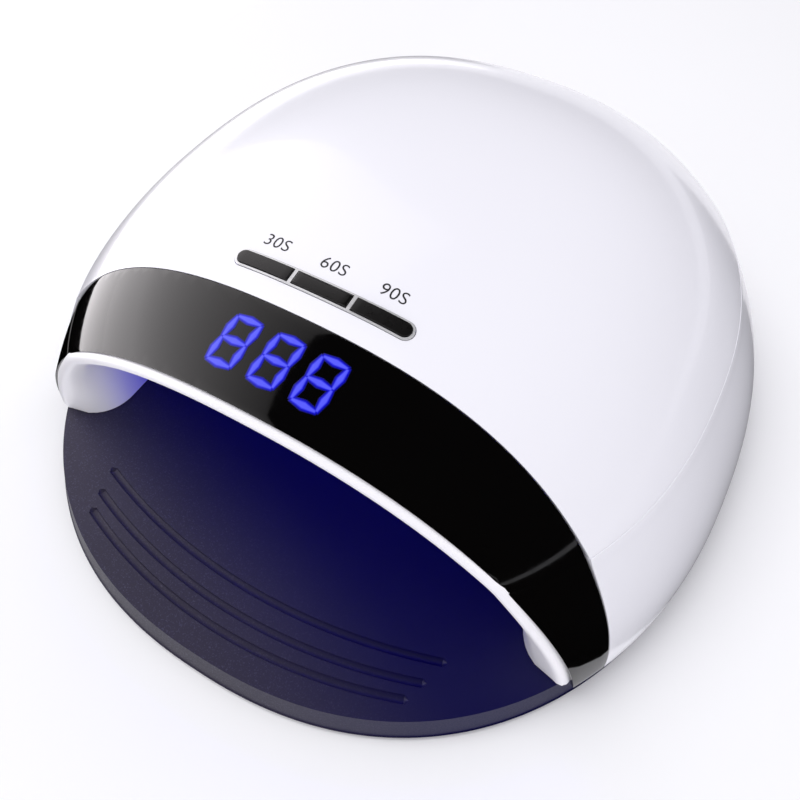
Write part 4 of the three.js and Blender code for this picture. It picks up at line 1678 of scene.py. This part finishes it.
@dataclass
class Studio:
    """Pale floor, soft lights and the camera.

    Args:
        turn: Camera azimuth from straight ahead, in degrees.
        rise: Camera elevation, in degrees.
        roll: Camera roll, in degrees.
        distance: Camera distance from its target.
        target: Point the camera looks at.
        lens: Focal length in millimetres.
        sensor: Width of the sensor in millimetres.
        sky_strength: Strength of the sky for all rays but glossy ones.
        gloss_tint: Colour of the cards that only gloss sees.
    """

    turn: float = 28.239
    rise: float = 54.791
    roll: float = 2.204
    distance: float = 245.782 * MM
    target: tuple[float, float, float] = (1.608 * MM, -15.569 * MM, 0.0)
    lens: float = 34.08
    sensor: float = 36.0
    sky_strength: float = 0.76
    gloss_tint: tuple[float, float, float, float] = (1.0, 0.96, 0.98, 1.0)

    def build(self) -> None:
        """Set up everything round the lamp."""
        self.camera()
        self.floor()
        self.world()
        self.lights()
        bpy.context.scene.view_settings.view_transform = "Standard"
        LOG.info("studio")

    def camera(self) -> None:
        """Place the camera on its sphere round the target."""
        turn, rise = math.radians(self.turn), math.radians(self.rise)
        back = Vector((math.sin(turn) * math.cos(rise), -math.cos(turn) * math.cos(rise), math.sin(rise)))
        lens = bpy.data.cameras.new("view")
        lens.lens = self.lens
        lens.sensor_width = self.sensor
        lens.clip_start = 0.01
        lens.clip_end = 20.0
        view = bpy.data.objects.new("view", lens)
        place = Matrix.Translation(Vector(self.target) + back * self.distance)
        roll = Matrix.Rotation(math.radians(self.roll), 4, "Z")
        view.matrix_world = place @ back.to_track_quat("Z", "Y").to_matrix().to_4x4() @ roll
        bpy.context.scene.collection.objects.link(view)
        bpy.context.scene.camera = view

    def floor(self) -> None:
        """A wide pale floor."""
        bm = bmesh.new()
        bmesh.ops.create_grid(bm, x_segments=1, y_segments=1, size=6.0)
        recipe = MouldedPlastic("pale_floor", (0.94, 0.94, 0.95), 0.85, 0.002, 0.0)
        finish_piece("studio_floor", bm, recipe.material())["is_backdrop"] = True

    def world(self) -> None:
        """A pale sky that stays dark in gloss, as a studio does between its lights."""
        world = bpy.data.worlds.new("studio")
        bpy.context.scene.world = world
        world.use_nodes = True
        tree = world.node_tree
        sky = tree.nodes["Background"]
        sky.inputs["Color"].default_value = (0.96, 0.95, 1.0, 1.0)
        path = tree.nodes.new("ShaderNodeLightPath")
        level = tree.nodes.new("ShaderNodeMapRange")
        level.inputs["To Min"].default_value = self.sky_strength
        level.inputs["To Max"].default_value = 0.0
        tree.links.new(path.outputs["Is Glossy Ray"], level.inputs["Value"])
        tree.links.new(level.outputs["Result"], sky.inputs["Strength"])

    def lights(self) -> None:
        """Hang the studio cards and the glow inside the chamber."""
        Card("top_card", (-0.36, -0.12, 1.0), (0, 0, 0.03), (0.55, 0.7), 4.4).hang()
        Card("front_card", (0.72, -0.5, 0.17), (0, -0.05, 0.03), (0.5, 0.25), 1.2).hang()
        violet = (0.03, 0.015, 1.0)
        Card("chamber_glow", (0, -0.02, 0.064), (0, -0.02, 0), (0.06, 0.04), 0.045, violet).hang()
        self.reflection_card()
        self.gloss_patch("left_floor_card", (1.16, 1.7), (-0.77, -0.25, 0.001), 3.0)
        self.gloss_patch("left_floor_flag", (0.12, 0.7), (-0.15, -0.05, 0.0015), 0.0)
        self.gloss_patch("right_floor_flag", (1.0, 1.6), (0.6, -0.3, 0.0005), 0.0)

    def reflection_card(self) -> None:
        """A slanted white card on the left that only gloss sees, fading at its upper edge."""
        bm = bmesh.new()
        bmesh.ops.create_grid(bm, x_segments=1, y_segments=1, size=0.5)
        for vert in bm.verts:
            upper, rear = vert.co.x > 0, vert.co.y > 0
            y = 0.6 if rear else -1.1
            edge = (-0.19 if rear else -0.43) if upper else -1.35
            vert.co = (edge, y, 0.8 if upper else 0.0)
        sheet = NodeSheet("reflection_card")
        split = sheet.add("ShaderNodeSeparateXYZ")
        sheet.join(sheet.coordinates.outputs["Object"], split.inputs["Vector"])
        fade = sheet.add("ShaderNodeMapRange")
        sheet.put({"From Min": 0.3, "From Max": 0.8, "To Min": 3.0, "To Max": 0.4}, fade)
        sheet.join(split.outputs["Z"], fade.inputs["Value"])
        sheet.feed("Emission Strength", fade.outputs["Result"])
        sheet.put({"Emission Color": self.gloss_tint, "Base Color": BLACK})
        self.hide_from_all_but_gloss(finish_piece("reflection_card", bm, sheet.material))

    def gloss_patch(self, name: str, size: tuple[float, float], centre: tuple[float, float, float],
                    strength: float) -> None:
        """A flat card on the floor that only gloss sees, black when its strength is zero.

        Args:
            name: Its name.
            size: Its size along X and Y.
            centre: Its middle.
            strength: Brightness.
        """
        bm = bmesh.new()
        bmesh.ops.create_grid(bm, x_segments=1, y_segments=1, size=0.5)
        bmesh.ops.scale(bm, verts=bm.verts, vec=(*size, 1.0))
        move(bm, centre)
        sheet = NodeSheet(name)
        sheet.put({"Emission Color": self.gloss_tint, "Emission Strength": strength})
        sheet.put({"Base Color": BLACK, "Specular IOR Level": 0.0})
        self.hide_from_all_but_gloss(finish_piece(name, bm, sheet.material))

    def hide_from_all_but_gloss(self, card: Piece) -> None:
        """Show a staged card to glossy rays alone."""
        for ray in ("camera", "diffuse", "transmission", "volume_scatter", "shadow"):
            setattr(card, f"visible_{ray}", False)
        card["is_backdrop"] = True


# ---------------------------------------------------------------- order of work


def main() -> None:
    """Build every sub-assembly in order."""
    logging.basicConfig(level=logging.INFO, format="%(name)s: %(message)s")
    mix_finishes()
    layout = read_layout()
    Studio().build()
    for assembly in (Tray(layout), Housing(layout), ButtonRow(layout), Display(layout),
                     Reflector(layout), RearPower()):
        assembly.build()


if __name__ == "__main__":
    main()
